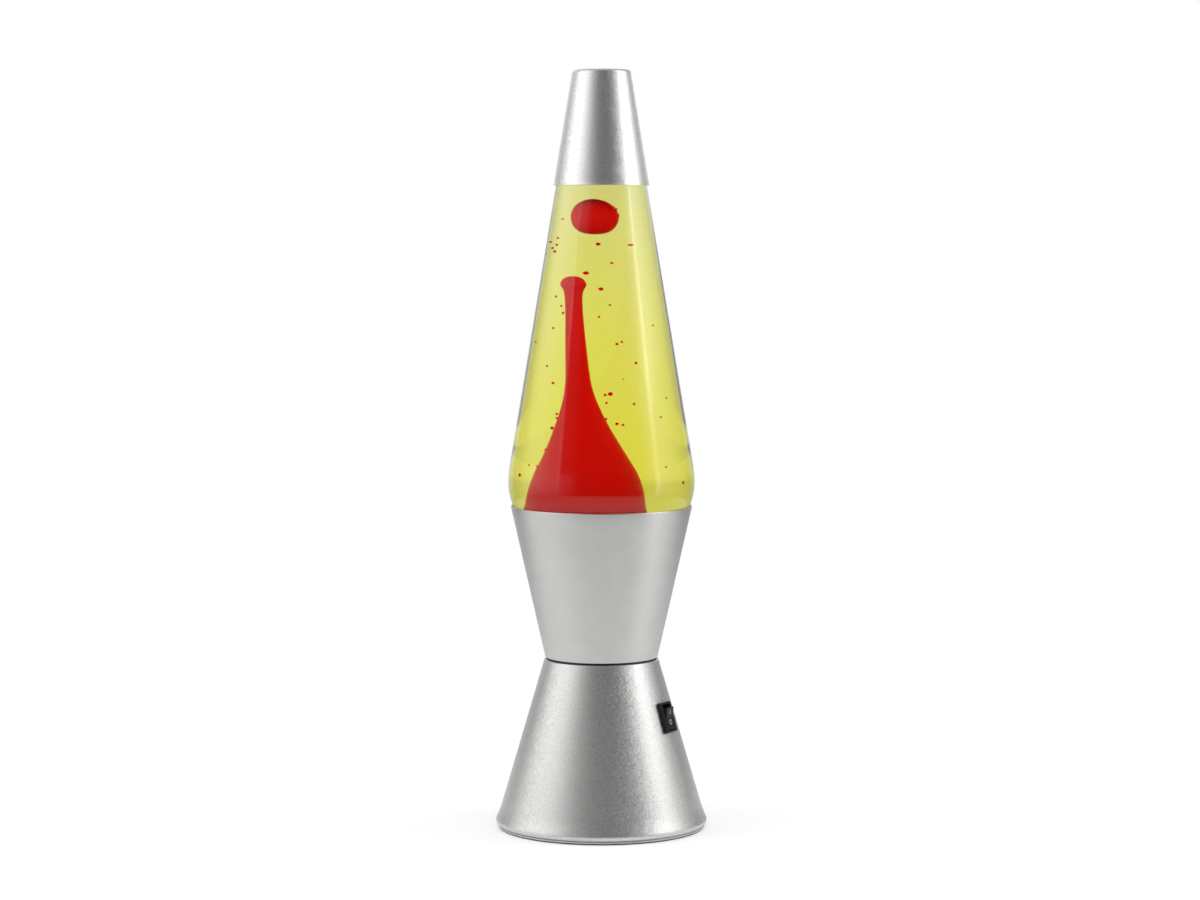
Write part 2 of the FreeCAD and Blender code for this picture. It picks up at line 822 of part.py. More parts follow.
keep("socket_shell", turned_body("SocketShell", [
    (shell_radius, shell_foot),
    (shell_radius + D["shell_wall"], shell_foot),
    (shell_radius + D["shell_wall"], shell_foot + D["shell_length"]),
    (shell_radius, shell_foot + D["shell_length"]),
]))

contact = keep("socket_contact", new_body("SocketContact"))
contact_top = well_floor + D["contact_rise"]


def draw_contact(sketch):
    leaf = D["contact_sheet"]
    draw_loop(sketch, [
        (-11 * leaf, well_floor),
        (-6 * leaf, well_floor),
        (-2.5 * leaf, contact_top - leaf),
        (4.5 * leaf, contact_top - leaf),
        (4.5 * leaf, contact_top),
        (-3 * leaf, contact_top),
        (-6.5 * leaf, well_floor + leaf),
        (-11 * leaf, well_floor + leaf),
    ])


extrude(contact, "Pad", "XZ_Plane", "ContactPad", draw_contact, D["contact_width"])

nipple_foot = D["strap_height"] - D["nipple_drop"]
keep("socket_nipple", turned_body("SocketNipple", [
    (D["nipple_bore"], nipple_foot),
    (D["nipple_radius"], nipple_foot),
    (D["nipple_radius"], nipple_top),
    (D["nipple_bore"], nipple_top),
]))
nut_hexagon = solid("Prism", "NutHexagon", Circumradius=D["nut_width"] / math.sqrt(3), Height=D["nut_height"])
nut_hexagon.Polygon = 6
put(nut_hexagon, 0, 0, D["strap_height"] - D["nut_height"], FreeCAD.Rotation(FreeCAD.Vector(0, 0, 1), 30))
nut_bore = cylinder("NutBore", D["nipple_radius"] + D["nipple_fit"], D["strap_height"])
keep("nipple_nut", cut("NippleNut", nut_hexagon, nut_bore))


# Terminal block that hangs under the strap
block = new_body("TerminalBlock")
block_top = D["strap_height"]
block_bottom = block_top - D["block_height"]
lead_level = block_top - D["block_lead_drop"]
poles = [block_place - D["block_pole_pitch"] / 2, block_place + D["block_pole_pitch"] / 2]


def draw_block(sketch):
    half = D["block_pole_pitch"] / 2 + D["block_bore_radius"] + D["block_wall"]
    draw_loop(sketch, box_corners(block_place - half, block_bottom, block_place + half, block_top))


def draw_poles(sketch):
    for pole in poles:
        draw_circle(sketch, pole, lead_level, D["block_bore_radius"] + D["insert_fit"])


def draw_clamp_holes(sketch):
    for pole in poles:
        for side in (1, -1):
            draw_circle(sketch, side * D["clamp_screw_place"], pole, D["clamp_screw_radius"] + D["insert_fit"])


extrude(block, "Pad", "YZ_Plane", "BlockPad", draw_block, D["block_length"])
extrude(block, "Pocket", "YZ_Plane", "PoleBores", draw_poles, 2 * D["block_length"])
extrude(block, "Pocket", "XY_Plane", "ClampHoles", draw_clamp_holes, lead_level, symmetric=False, reverse=True)
block_screw_depth = D["block_screw_length"] - D["strap_sheet"] + D["insert_fit"]
block_hole = cylinder("BlockScrewHole", D["block_screw_radius"] + D["insert_fit"], block_screw_depth,
                      0, block_place, block_top - block_screw_depth)
keep("terminal_block", cut("BlockWithHole", block, block_hole))
keep("block_screw", pan_screw(
    "BlockScrew", D["block_screw_radius"], D["block_screw_length"], D["block_screw_head_radius"],
    D["block_screw_head_height"], 0, block_place, strap_top, False))

inserts, clamps = [], []
along_x = FreeCAD.Rotation(FreeCAD.Vector(0, 1, 0), 90)
insert_end = D["block_length"] / -2 + 1
insert_length = D["block_length"] - 2
clamp_foot = block_bottom + D["clamp_screw_drop"]
for pole, name in zip(poles, ("First", "Second")):
    outer = cylinder(f"{name}Insert", D["block_bore_radius"], insert_length, insert_end, pole, lead_level, along_x)
    hollow = D["block_bore_radius"] - D["insert_wall"]
    tools = [cylinder(f"{name}InsertBore", hollow, insert_length, insert_end, pole, lead_level, along_x)]
    for side, end in ((1, "Front"), (-1, "Rear")):
        place = side * D["clamp_screw_place"]
        height = lead_level - D["lead_radius"] - D["insert_fit"] - clamp_foot
        tools.append(cylinder(f"{name}{end}ClampBore", D["clamp_screw_radius"] + D["insert_fit"],
                              lead_level - clamp_foot, place, pole, clamp_foot))
        clamps.append(cylinder(f"{name}{end}Clamp", D["clamp_screw_radius"], height, place, pole, clamp_foot))
    inserts.append(cut(f"{name}InsertTube", outer, fuse(f"{name}InsertTools", *tools)))
keep("terminal_inserts", group("TerminalInserts", *inserts))
keep("terminal_screws", group("TerminalScrews", *clamps))


# Cord bush in the rear wall
bush_outer = D["bush_radius"]
bush_flange = bush_outer + D["bush_flange_step"]
bush = keep("cord_bush", turned_body("CordBush", [
    (D["bush_bore"], -D["bush_depth"]),
    (bush_outer, -D["bush_depth"]),
    (bush_outer + D["bush_barb_step"], -D["bush_barb_depth"]),
    (bush_outer, -D["bush_barb_depth"]),
    (bush_outer, D["screw_clearance"]),
    (bush_flange, D["screw_clearance"]),
    (bush_flange, D["bush_flange_height"] * 0.6),
    (bush_flange - D["bush_flange_height"] * 0.4, D["bush_flange_height"]),
    (D["bush_bore"], D["bush_flange_height"]),
]))
bush.Placement = bush_frame


# Rocker switch, drawn in its own frame: X up the slope, Z out of the cone
bezel_length = D["body_length"] + 2 * D["bezel_end_rim"]
bezel_width = D["body_width"] + 2 * D["bezel_side_rim"]
cavity_length = D["body_length"] - 2 * D["cavity_end_wall"]
cavity_width = D["body_width"] - 2 * D["cavity_side_wall"]
plunger_reach = D["bridge_pivot_depth"] - D["rocker_pivot_depth"] - D["plunger_gap"]
end_contact_depth = D["bridge_pivot_depth"] + D["end_contact_drop"]
housing = keep("switch_housing", new_body("SwitchHousing"))


def centred_box(length, width):
    return lambda s: draw_loop(s, box_corners(length / -2, width / -2, length / 2, width / 2))


bezel = extrude(housing, "Pad", "XY_Plane", "Bezel", centred_box(bezel_length, bezel_width),
                D["bezel_height"], symmetric=False)
bezel_edges = [
    f"Edge{i}" for i, edge in enumerate(bezel.Shape.Edges, start=1)
    if abs(edge.tangentAt(edge.FirstParameter).z) > 0.99
]
bezel_fillet = housing.newObject("PartDesign::Fillet", "BezelCorners")
bezel_fillet.Base = (bezel, bezel_edges)
bind(bezel_fillet, "Radius", D["bezel_round"])
doc.recompute()
extrude(housing, "Pad", "XY_Plane", "BodyPad", centred_box(D["body_length"], D["body_width"]),
        D["body_depth"], symmetric=False, reverse=True)
ear_end = D["ear_start"] + D["ear_length"]


def draw_ears(sketch):
    for side in (1, -1):
        wall_x = side * D["body_length"] / 2
        ear_x = wall_x + side * D["ear_height"]
        draw_loop(sketch, [(wall_x, -D["ear_start"]), (ear_x, -D["ear_start"]), (wall_x, -ear_end)])


extrude(housing, "Pad", "XZ_Plane", "Ears", draw_ears, D["body_width"] / 2)


def draw_cavity(sketch):
    half = cavity_length / 2
    draw_loop(sketch, box_corners(-half, D["switch_floor"] - D["body_depth"], half, 2 * D["bezel_height"]))


def draw_pivot_hole(sketch):
    draw_circle(sketch, 0, -D["rocker_pivot_depth"], D["pivot_pin_radius"] + D["pivot_fit"])


def draw_tab_slots(sketch):
    gap = D["tab_slot_clearance"]
    for middle in (0, end_tab_middle):
        draw_loop(sketch, box_corners(
            middle - D["tab_sheet"] / 2 - gap, D["tab_width"] / -2 - gap,
            middle + D["tab_sheet"] / 2 + gap, D["tab_width"] / 2 + gap))


end_tab_middle = D["end_tab_place"] + D["tab_sheet"] / 2
extrude(housing, "Pocket", "XZ_Plane", "Cavity", draw_cavity, cavity_width)
extrude(housing, "Pocket", "XZ_Plane", "PivotHoles", draw_pivot_hole, 2 * D["body_width"])
extrude(housing, "Pocket", "XY_Plane", "TabSlots", draw_tab_slots, 3 * D["body_depth"])
housing.Placement = switch_frame

bridge_low = D["bridge_pivot_depth"] + D["bridge_sheet"] / 2
centre_tab_top = bridge_low + D["bridge_gap"]


def draw_centre_tab(sketch):
    half = D["tab_sheet"] / 2
    draw_loop(sketch, box_corners(-half, -D["tab_depth"], half, -centre_tab_top))


def draw_end_tab(sketch):
    inner, outer = D["end_tab_place"], D["end_tab_place"] + D["tab_sheet"]
    top, under = -end_contact_depth, -(end_contact_depth + D["tab_sheet"])
    draw_loop(sketch, [
        (inner, -D["tab_depth"]), (outer, -D["tab_depth"]), (outer, top),
        (inner - D["tab_sheet"], top), (inner - D["tab_sheet"], under), (inner, under),
    ])


for label, name, draw in (("switch_centre_tab", "CentreTab", draw_centre_tab),
                          ("switch_end_tab", "EndTab", draw_end_tab)):
    tab = keep(label, new_body(name))
    extrude(tab, "Pad", "XZ_Plane", name + "Pad", draw, D["tab_width"])
    tab.Placement = switch_frame

# The rocker is drawn level about its pivot, then tilted to the rest position, upper end out
half_angle = math.radians(SIZES["rocker_half_angle"])
rocker = keep("switch_rocker", new_body("Rocker"))
rocker_half = cavity_length / 2 - D["rocker_end_gap"]
rocker_width = cavity_width - 2 * D["rocker_side_gap"]
rocker_end = D["rocker_crown"] + rocker_half * math.tan(half_angle)


def draw_rocker(sketch):
    draw_loop(sketch, [
        (-D["rocker_keel_half_length"], -D["rocker_keel"]),
        (D["rocker_keel_half_length"], -D["rocker_keel"]),
        (rocker_half - D["rocker_side"], 0),
        (rocker_half, rocker_end),
        (0, D["rocker_crown"]),
        (-rocker_half, rocker_end),
        (D["rocker_side"] - rocker_half, 0),
    ])


extrude(rocker, "Pad", "XZ_Plane", "RockerPad", draw_rocker, rocker_width)
pin_length = D["body_width"] - 2 * D["pivot_fit"]
extrude(rocker, "Pad", "XZ_Plane", "PivotPins",
        lambda s: draw_circle(s, 0, 0, D["pivot_pin_radius"]), pin_length)
bore_radius = D["plunger_radius"] + D["plunger_fit"]
extrude(rocker, "Pocket", "XY_Plane", "PlungerBore", lambda s: draw_circle(s, 0, 0, bore_radius),
        2 * D["plunger_bore_depth"])
extrude(rocker, "Pocket", "XY_Plane", "PlungerMouth", lambda s: draw_circle(s, 0, 0, bore_radius),
        2 * D["rocker_keel"], symmetric=False)
tilt = FreeCAD.Rotation(FreeCAD.Vector(0, 1, 0), -SIZES["rocker_half_angle"])
rocker_frame = in_frame(switch_frame, z=-D["rocker_pivot_depth"], turn=tilt)
rocker.Placement = rocker_frame

plunger_top = D["plunger_length"] - plunger_reach
tip_round = D["plunger_radius"]
plunger = keep("switch_plunger", turned_body("Plunger", [
    (0, -plunger_reach, tip_round),
    (tip_round, tip_round - plunger_reach),
    (tip_round, plunger_top),
    (0, plunger_top),
]))
plunger.Placement = rocker_frame
spring = keep("switch_spring", turned_body("PlungerSpring", [
    (D["plunger_radius"] / 2, plunger_top),
    (D["plunger_radius"], plunger_top),
    (D["plunger_radius"], D["plunger_bore_depth"]),
    (D["plunger_radius"] / 2, D["plunger_bore_depth"]),
]))
spring.Placement = rocker_frame

bridge = keep("contact_bridge", new_body("ContactBridge"))
extrude(bridge, "Pad", "XY_Plane", "BridgePad", centred_box(D["bridge_length"], D["bridge_width"]), D["bridge_sheet"])
bridge_tilt = SIZES["rocker_half_angle"] * SIZES["bridge_ratio"]
bridge.Placement = in_frame(switch_frame, z=-D["bridge_pivot_depth"],
                            turn=FreeCAD.Rotation(FreeCAD.Vector(0, 1, 0), bridge_tilt))


# Reflector bulb, from its contact up
bulb_foot = contact_top + D["bulb_gap"]


def bulb_z(size):
    return bulb_foot + size


contact_seam = bulb_z(D["bulb_contact_height"])
keep("bulb_contact", turned_body("BulbContact", [
    (0, bulb_foot),
    (D["bulb_contact_radius"] / 2, bulb_foot),
    (D["bulb_contact_radius"], contact_seam),
    (0, contact_seam),
]))
cap_foot = bulb_z(D["bulb_cap_foot"])
glaze_radius = D["bulb_cap_radius"] - D["bulb_contact_height"]
keep("bulb_insulator", turned_body("BulbInsulator", [
    (0, contact_seam + D["pivot_fit"]),
    (D["bulb_contact_radius"], contact_seam + D["pivot_fit"]),
    (glaze_radius, cap_foot),
    (0, cap_foot),
]))
cap_top = bulb_z(D["bulb_cap_height"])
thin = D["bulb_cap_wall"]
bulb_stem_radius = D["bulb_cap_radius"] - thin - D["cement_gap"]
bulb_face = D["bulb_length"] - D["bulb_face_rise"]
bulb_belly = bulb_face - D["bulb_band"]
keep("bulb_cap", turned_body("BulbCap", [
    (glaze_radius, cap_foot),
    (D["bulb_cap_radius"], cap_foot + D["bulb_contact_height"]),
    (D["bulb_cap_radius"], cap_top),
    (D["bulb_cap_radius"] - thin, cap_top),
    (D["bulb_cap_radius"] - thin, cap_foot + D["bulb_contact_height"] + thin),
    (glaze_radius - thin, cap_foot + thin),
    (glaze_radius - thin, cap_foot),
]))


stem_seat = cap_top - 3 * D["bulb_wall"]


def bulb_side(inset):
    """One face of the bulb's glass, from the end of its neck to its middle, at a distance inside."""
    edge = D["bulb_radius"] - inset
    face_foot = bulb_z(bulb_face) - inset / 2
    face_top = bulb_z(D["bulb_length"]) - inset
    rise = face_top - face_foot
    face_round = (edge * edge + rise * rise) / (2 * rise)
    return [
        (bulb_stem_radius - inset, stem_seat),
        (bulb_stem_radius - inset, cap_top + inset / 2),
        (D["bulb_neck_radius"] - inset, bulb_z(D["bulb_neck_height"]), D["bulb_reflector_round"] - inset),
        (edge, bulb_z(bulb_belly)),
        (edge, face_foot, face_round),
        (0, face_top),
    ]


keep("bulb_glass", turned_body("BulbGlass", bulb_side(0) + backwards(bulb_side(D["bulb_wall"]))))

stem_flare = bulb_stem_radius - D["bulb_wall"]
stem_top = bulb_z(D["stem_height"])
keep("bulb_stem", turned_body("BulbStem", [
    (0, stem_seat),
    (stem_flare, stem_seat),
    (stem_flare, stem_seat + D["bulb_wall"]),
    (D["stem_rod_radius"], cap_top + 2 * D["bulb_wall"]),
    (D["stem_rod_radius"], stem_top),
    (0, stem_top),
]))
half_span = D["filament_half_width"]
wire = D["filament_wire"]
shoulder = half_span * 0.7
coil_level = bulb_z(D["filament_height"])
hook_level = stem_top + 5 * wire
rise_level = coil_level - 3.3 * wire
keep("bulb_filament", tube("BulbFilament", [
    (0, -wire, stem_top),
    (0, -wire, hook_level),
    (0, -half_span, rise_level),
    (shoulder, -shoulder, coil_level),
    (half_span, 0, coil_level),
    (shoulder, shoulder, coil_level),
    (0, half_span, rise_level),
    (0, wire, hook_level),
    (0, wire, stem_top),
], wire / 2))


# Bottle, with its crown closure
lip_foot = bottle_top - D["lip_height"]
bottle_outside = bottle_corners(0, bottle_foot, shoulder_height) + [
    (D["neck_radius"], neck_foot),
    (D["neck_radius"], lip_foot),
    (D["lip_radius"], lip_foot + D["lip_radius"] - D["neck_radius"]),
    (D["lip_radius"], bottle_top),
]
bottle_inside = bottle_corners(D["bottle_wall"], bottle_inner_floor, shoulder_height) + [
    (D["neck_bore"], neck_foot),
    (D["neck_bore"], bottle_top),
]
bottle = keep("glass_bottle", turned_body("Bottle", bottle_outside + backwards(bottle_inside)))
inner_heel = (bottle_lower(bottle_inner_floor, D["bottle_wall"]), bottle_inner_floor)
inner_heel_round = D["heel_round"] - D["bottle_wall"]
outer_heel = (bottle_lower(bottle_foot), bottle_foot)
round_rims(bottle, D["heel_round"], [outer_heel], "HeelRound")
round_rims(bottle, inner_heel_round, [inner_heel], "InnerHeelRound")
shoulder_rims = [(bottle_upper(shoulder_height), shoulder_height),
                 (D["neck_radius"], neck_foot)]
round_rims(bottle, D["shoulder_round"], shoulder_rims, "ShoulderRound")

liner_top = bottle_top + D["liner_thickness"]
keep("crown_liner", cylinder("CrownLiner", D["lip_radius"], D["liner_thickness"], z=bottle_top))
crown_inside = D["lip_radius"] + D["crown_sheet"]
crown_outside = crown_inside + D["crown_sheet"]
skirt_foot = liner_top - D["crown_skirt"]
crown = keep("crown_cap", turned_body("CrownCap", [
    (0, liner_top),
    (crown_inside, liner_top),
    (crown_inside, skirt_foot),
    (crown_outside + D["crown_flare"], skirt_foot),
    (crown_outside, liner_top),
    (crown_inside, liner_top + D["crown_sheet"]),
    (0, liner_top + D["crown_sheet"]),
]))
flute_place = crown_outside + D["crown_flare"] + D["crown_flute_radius"] / 2
flute = extrude(crown, "Pocket", "XY_Plane", "Flute",
                lambda s: draw_circle(s, flute_place, 0, D["crown_flute_radius"]), 2 * liner_top)
flutes = crown.newObject("PartDesign::PolarPattern", "Flutes")
flutes.Originals = [flute]
flutes.Axis = (flute.Profile[0], ["N_Axis"])
flutes.Angle = 360
flutes.setExpression("Occurrences", D["crown_teeth"].formula)
crown.Tip = flutes
doc.recompute()


# Top cap, which rests over the crown on the bottle's cone
cap_lip = bottle_upper(cap_lip_height) + D["cap_gap"] + D["cap_wall"]
cap_taper = (cap_lip - D["cap_top_radius"]) / (D["lamp_height"] - cap_lip_height)
cap_under = D["lamp_height"] - D["cap_wall"]
cap_inner_top = D["cap_top_radius"] + cap_taper * D["cap_wall"] - D["cap_wall"]
top_cap = keep("top_cap", turned_body("TopCap", [
    (cap_lip - D["cap_wall"], cap_lip_height),
    (cap_lip + D["cap_bead"], cap_lip_height),
    (cap_lip + D["cap_bead"], cap_lip_height + D["cap_bead"]),
    (cap_lip - cap_taper * 4 * D["cap_bead"], cap_lip_height + 4 * D["cap_bead"]),
    (D["cap_top_radius"], D["lamp_height"]),
    (0, D["lamp_height"]),
    (0, cap_under),
    (cap_inner_top, cap_under),
]))
round_rims(top_cap, D["cap_round"], [(D["cap_top_radius"], D["lamp_height"])], "CapRound")
round_rims(top_cap, D["cap_round"] - D["cap_wall"], [(cap_inner_top, cap_under)], "CapInnerRound")


# Contents of the bottle. Offsets run to the viewer's left and away from the viewer.
bearing = math.radians(SIZES["wax_bearing"])
viewer_left = FreeCAD.Vector(-math.cos(bearing), -math.sin(bearing), 0)
viewer_away = FreeCAD.Vector(-math.sin(bearing), math.cos(bearing), 0)


def inside_bottle(left, away, height):
    return viewer_left * number(left) + viewer_away * number(away) + FreeCAD.Vector(0, 0, number(height))


def filling(name, top):
    """The inside of the bottle up to a height."""
    body = turned_body(name, bottle_corners(D["bottle_wall"], bottle_inner_floor, top) + [(0, top)])
    round_rims(body, inner_heel_round, [inner_heel], name + "Heel")
    return body


ring_tube = D["wire_ring_thickness"] / 2
ring_level = bottle_inner_floor + D["wire_ring_gap"] + ring_tube
wire_ring = keep("wire_ring", put(
    solid("Torus", "WireRing", Radius1=D["wire_ring_radius"], Radius2=ring_tube), z=ring_level))

head_height = fill_height - D["head_drop"]
column = turned_body("ColumnTurned", [
    (0, bottle_foot),
    (D["mound_skirt_radius"], bottle_foot),
    (D["mound_waist_radius"], D["mound_waist_height"], D["mound_dome_round"]),
    (D["mound_shoulder_radius"], D["mound_shoulder_height"], -D["mound_neck_round"]),
    (D["column_foot_radius"], D["mound_shoulder_height"] + D["column_flare_length"]),
    (D["column_radius"], head_height - D["head_length"]),
    (D["head_radius"], head_height - D["head_radius"], D["head_radius"]),
    (0, head_height),
])
lean_axis = FreeCAD.Vector(0, 0, 1).cross(viewer_left)
lean_slope = math.tan(math.radians(SIZES["column_lean"]))
column_lean = FreeCAD.Rotation(lean_axis, SIZES["column_lean"])
mound_foot = inside_bottle(D["mound_offset"], D["mound_depth"], D["mound_waist_height"])
lean_centre = FreeCAD.Vector(0, 0, SIZES["mound_waist_height"])
column.Placement = FreeCAD.Placement(mound_foot - column_lean.multVec(lean_centre), column_lean)
mound_space = filling("MoundSpace", fill_height)
mound_common = doc.addObject("Part::MultiCommon", "MoundInBottle")
mound_common.Shapes = [mound_space, column]
wax_column = keep("wax_column", cut("WaxColumn", mound_common, wire_ring))

# Small beads of wax that drift in the liquid: left and away of the column's axis in radii of the
# mound's shoulder, height as a share of the way from that shoulder to the liquid's top
WAX_BEADS = [
    (-0.361, 0.169, 0.625, "bead_radius"),
    (-0.798, 0.085, 0.562, "bead_radius"),
    (-1.771, -0.424, 0.726, "bead_radius"),
    (-0.783, 0.169, 0.732, "small_bead_radius"),
    (-1.181, 0.085, 0.659, "small_bead_radius"),
    (-0.897, 0.000, 0.167, "bead_radius"),
    (0.950, -0.339, 0.039, "bead_radius"),
    (1.250, -0.508, 0.364, "small_bead_radius"),
    (-1.625, -0.508, 0.129, "small_bead_radius"),
    (-3.032, -0.508, -0.166, "small_bead_radius"),
    (-2.619, -0.508, 0.152, "small_bead_radius"),
]
beads = []
for i, (left, away, rise, radius) in enumerate(WAX_BEADS, start=1):
    height = D["mound_shoulder_height"] + rise * (fill_height - D["mound_shoulder_height"])
    axis_left = D["mound_offset"] + lean_slope * (height - D["mound_waist_height"])
    place_left = axis_left + left * D["mound_shoulder_radius"]
    place_away = D["mound_depth"] + away * D["mound_shoulder_radius"]
    bead = solid("Sphere", f"Bead{i}", Radius=D[radius])
    bead.Placement.Base = inside_bottle(place_left, place_away, height)
    beads.append(bead)
wax_beads = keep("wax_beads", group("WaxBeads", *beads))

sine, tangent = math.sin(math.radians(60)), math.tan(math.radians(60))


def blob_corners(grown):
    """The drifting blob's half outline: a corner arc of 60 degrees and a flatter arc above and below."""
    radius = D["blob_radius"] + grown
    runs = []
    for rounding in (D["blob_base_round"] + grown, D["blob_top_round"] + grown):
        inset = radius - rounding
        runs.append((rounding, rounding + 2 * inset, inset + rounding / 2, sine * rounding,
                     rounding + 2 * inset - tangent * inset))
    (base_round, base_arc, base_x, base_z, base_reach), (top_round, top_arc, top_x, top_z, top_reach) = runs
    return [
        (0, -base_reach, base_arc),
        (base_x, -base_z, base_round),
        (radius, 0, top_round),
        (top_x, top_z, top_arc),
        (0, top_reach),
    ]


blob_height = fill_height - D["blob_drop"]
blob_reach = bottle_upper(blob_height, D["bottle_wall"]) - D["blob_radius"] - D["blob_wall_gap"]
toward_left = math.cos(math.radians(SIZES["blob_bearing"]))
toward_viewer = math.sin(math.radians(SIZES["blob_bearing"]))
blob_place = inside_bottle(blob_reach * toward_left, -blob_reach * toward_viewer, blob_height)
wax_blob = keep("wax_blob", turned_body("WaxBlob", blob_corners(0)))
wax_blob.Placement.Base = blob_place
blob_space = turned_body("BlobSpace", blob_corners(D["blob_clearance"]))
blob_space.Placement.Base = blob_place
contents = group("Contents", wax_column, wire_ring, wax_beads, blob_space)
keep("liquid", cut("Liquid", filling("LiquidSpace", fill_height), contents))


# Leads from the terminal block to the switch and the lampholder
tab_middle = (D["tab_depth"] + D["body_depth"]) / 2
centre_end = in_frame(switch_frame, 0, D["tab_width"] / -2, -tab_middle).Base
end_end = in_frame(switch_frame, end_tab_middle, D["tab_width"] / 2, -tab_middle).Base
lead_start = D["block_length"] / 8
block_end = D["block_length"] / 2
near_pole, far_pole = poles
hole_y = D["lead_hole_y"]
hole_end = web_bottom - D["lead_radius"]
loop = D["lead_loop_height"]
keep("wire_line", tube("WireLine", [
    (lead_start, far_pole, lead_level),
    (block_end + D["lead_exit"], far_pole, lead_level),
    (centre_end.x, far_pole - D["lead_slant"], lead_level + D["lead_climb"]),
    (centre_end.x, centre_end.y + D["lead_reach"], centre_end.z),
    tuple(centre_end),
], D["lead_radius"]))
keep("wire_switched", tube("WireSwitched", [
    tuple(end_end),
    (end_end.x, end_end.y - D["lead_long_reach"], end_end.z),
    (lead_hole_x + D["lead_loop_width"], -hole_y - D["lead_loop_side"], loop),
    (lead_hole_x, -hole_y, loop),
    (lead_hole_x, -hole_y, hole_end),
], D["lead_radius"]))
keep("wire_neutral", tube("WireNeutral", [
    (lead_start, near_pole, lead_level),
    (block_end + D["lead_long_exit"], near_pole, lead_level),
    (block_end + D["lead_long_exit"] - D["lead_loop_rise"], near_pole - D["lead_slant"], loop),
    (lead_hole_x, hole_y, loop + D["lead_loop_rise"]),
    (lead_hole_x, hole_y, hole_end),
], D["lead_radius"]))


# Every piece is checked before its file is written
doc.recompute()
for thing in doc.Objects:
    if "Invalid" in thing.State or "Error" in thing.State:
        raise RuntimeError(f"{thing.Label} failed: {thing.State}")
for label, sub_part in PARTS.items():
    if sub_part.Shape.isNull() or not sub_part.Shape.isValid() or sub_part.Shape.Volume <= 0:
        raise RuntimeError(f"{label} has no valid shape")
os.makedirs("parts", exist_ok=True)
for label, sub_part in PARTS.items():
    sub_part.Shape.exportStep(f"parts/{label}.step")
    print(f"{label}: {len(sub_part.Shape.Solids)} solid, {sub_part.Shape.Volume:.1f} mm3")
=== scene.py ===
import math
import random

import bmesh
import bpy
from mathutils import Matrix, Vector, noise


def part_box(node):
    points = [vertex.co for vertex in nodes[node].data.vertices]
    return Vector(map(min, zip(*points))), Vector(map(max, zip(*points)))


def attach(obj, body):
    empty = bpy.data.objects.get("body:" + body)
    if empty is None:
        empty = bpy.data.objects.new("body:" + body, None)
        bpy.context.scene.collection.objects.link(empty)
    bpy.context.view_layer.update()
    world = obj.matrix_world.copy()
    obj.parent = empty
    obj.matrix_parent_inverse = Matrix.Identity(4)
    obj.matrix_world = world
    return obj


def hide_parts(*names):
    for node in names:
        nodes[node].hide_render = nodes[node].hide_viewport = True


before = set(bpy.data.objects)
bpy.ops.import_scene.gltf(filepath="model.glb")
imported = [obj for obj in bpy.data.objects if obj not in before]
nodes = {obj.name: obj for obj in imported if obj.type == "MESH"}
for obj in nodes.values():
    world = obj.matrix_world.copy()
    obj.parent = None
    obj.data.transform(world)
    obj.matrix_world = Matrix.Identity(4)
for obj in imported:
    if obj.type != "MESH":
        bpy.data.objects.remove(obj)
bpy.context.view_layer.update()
MM = 0.001
BEARING = math.radians(29)
RIGHT = Vector((math.cos(BEARING), math.sin(BEARING), 0))
AWAY = Vector((-math.sin(BEARING), math.cos(BEARING), 0))


# Outlines, in millimetres
FILLET_STEPS = 8
ARC_STEP = 1.2


def outline(corners, closed=False):
    """Points through (r, z, round, bend) corners: round is a fillet's radius, and bend the radius of an
    arc to the next corner, positive where it bulges to the right of travel."""
    full = [tuple(c) + (0,) * (4 - len(c)) for c in corners]
    places = [Vector(c[:2]) for c in full]
    points = []
    for i, (x, z, rounding, bend) in enumerate(full):
        here, after = places[i], places[(i + 1) % len(full)]
        if rounding:
            into = (places[i - 1] - here).normalized()
            out = (after - here).normalized()
            half = into.angle(out) / 2
            centre = here + (into + out).normalized() * (rounding / math.sin(half))
            start = here + into * (rounding / math.tan(half)) - centre
            end = here + out * (rounding / math.tan(half)) - centre
            sweep = start.angle_signed(end)
            for k in range(FILLET_STEPS + 1):
                turn = Matrix.Rotation(-sweep * k / FILLET_STEPS, 2)
                points.append(centre + turn @ start)
        else:
            points.append(here)
        if bend:
            chord = after - here
            side = Vector((chord.y, -chord.x)).normalized() * math.copysign(1, bend)
            rise = math.sqrt(bend * bend - chord.length_squared / 4)
            centre = (here + after) / 2 - side * rise
            start, end = here - centre, after - centre
            sweep = start.angle_signed(end)
            count = max(4, int(abs(sweep) * abs(bend) / ARC_STEP))
            for k in range(1, count):
                points.append(centre + Matrix.Rotation(-sweep * k / count, 2) @ start)
    if closed:
        points.append(points[0])
    return [(p.x, p.y) for p in points]


def make(name, verts, faces, material, sharp=35.0, place=None):
    """A piece from points in millimetres. Edges that turn more than sharp degrees stay crisp."""
    mesh = bpy.data.meshes.new(name)
    mesh.from_pydata([Vector(v) * MM for v in verts], [], faces)
    work = bmesh.new()
    work.from_mesh(mesh)
    bmesh.ops.remove_doubles(work, verts=work.verts, dist=1e-8)
    bmesh.ops.recalc_face_normals(work, faces=work.faces)
    work.to_mesh(mesh)
    work.free()
    for polygon in mesh.polygons:
        polygon.use_smooth = True
    mesh.set_sharp_from_angle(angle=math.radians(sharp))
    mesh.materials.append(material)
    thing = bpy.data.objects.new(name, mesh)
    bpy.context.scene.collection.objects.link(thing)
    if place is not None:
        mesh.transform(place)
    return thing


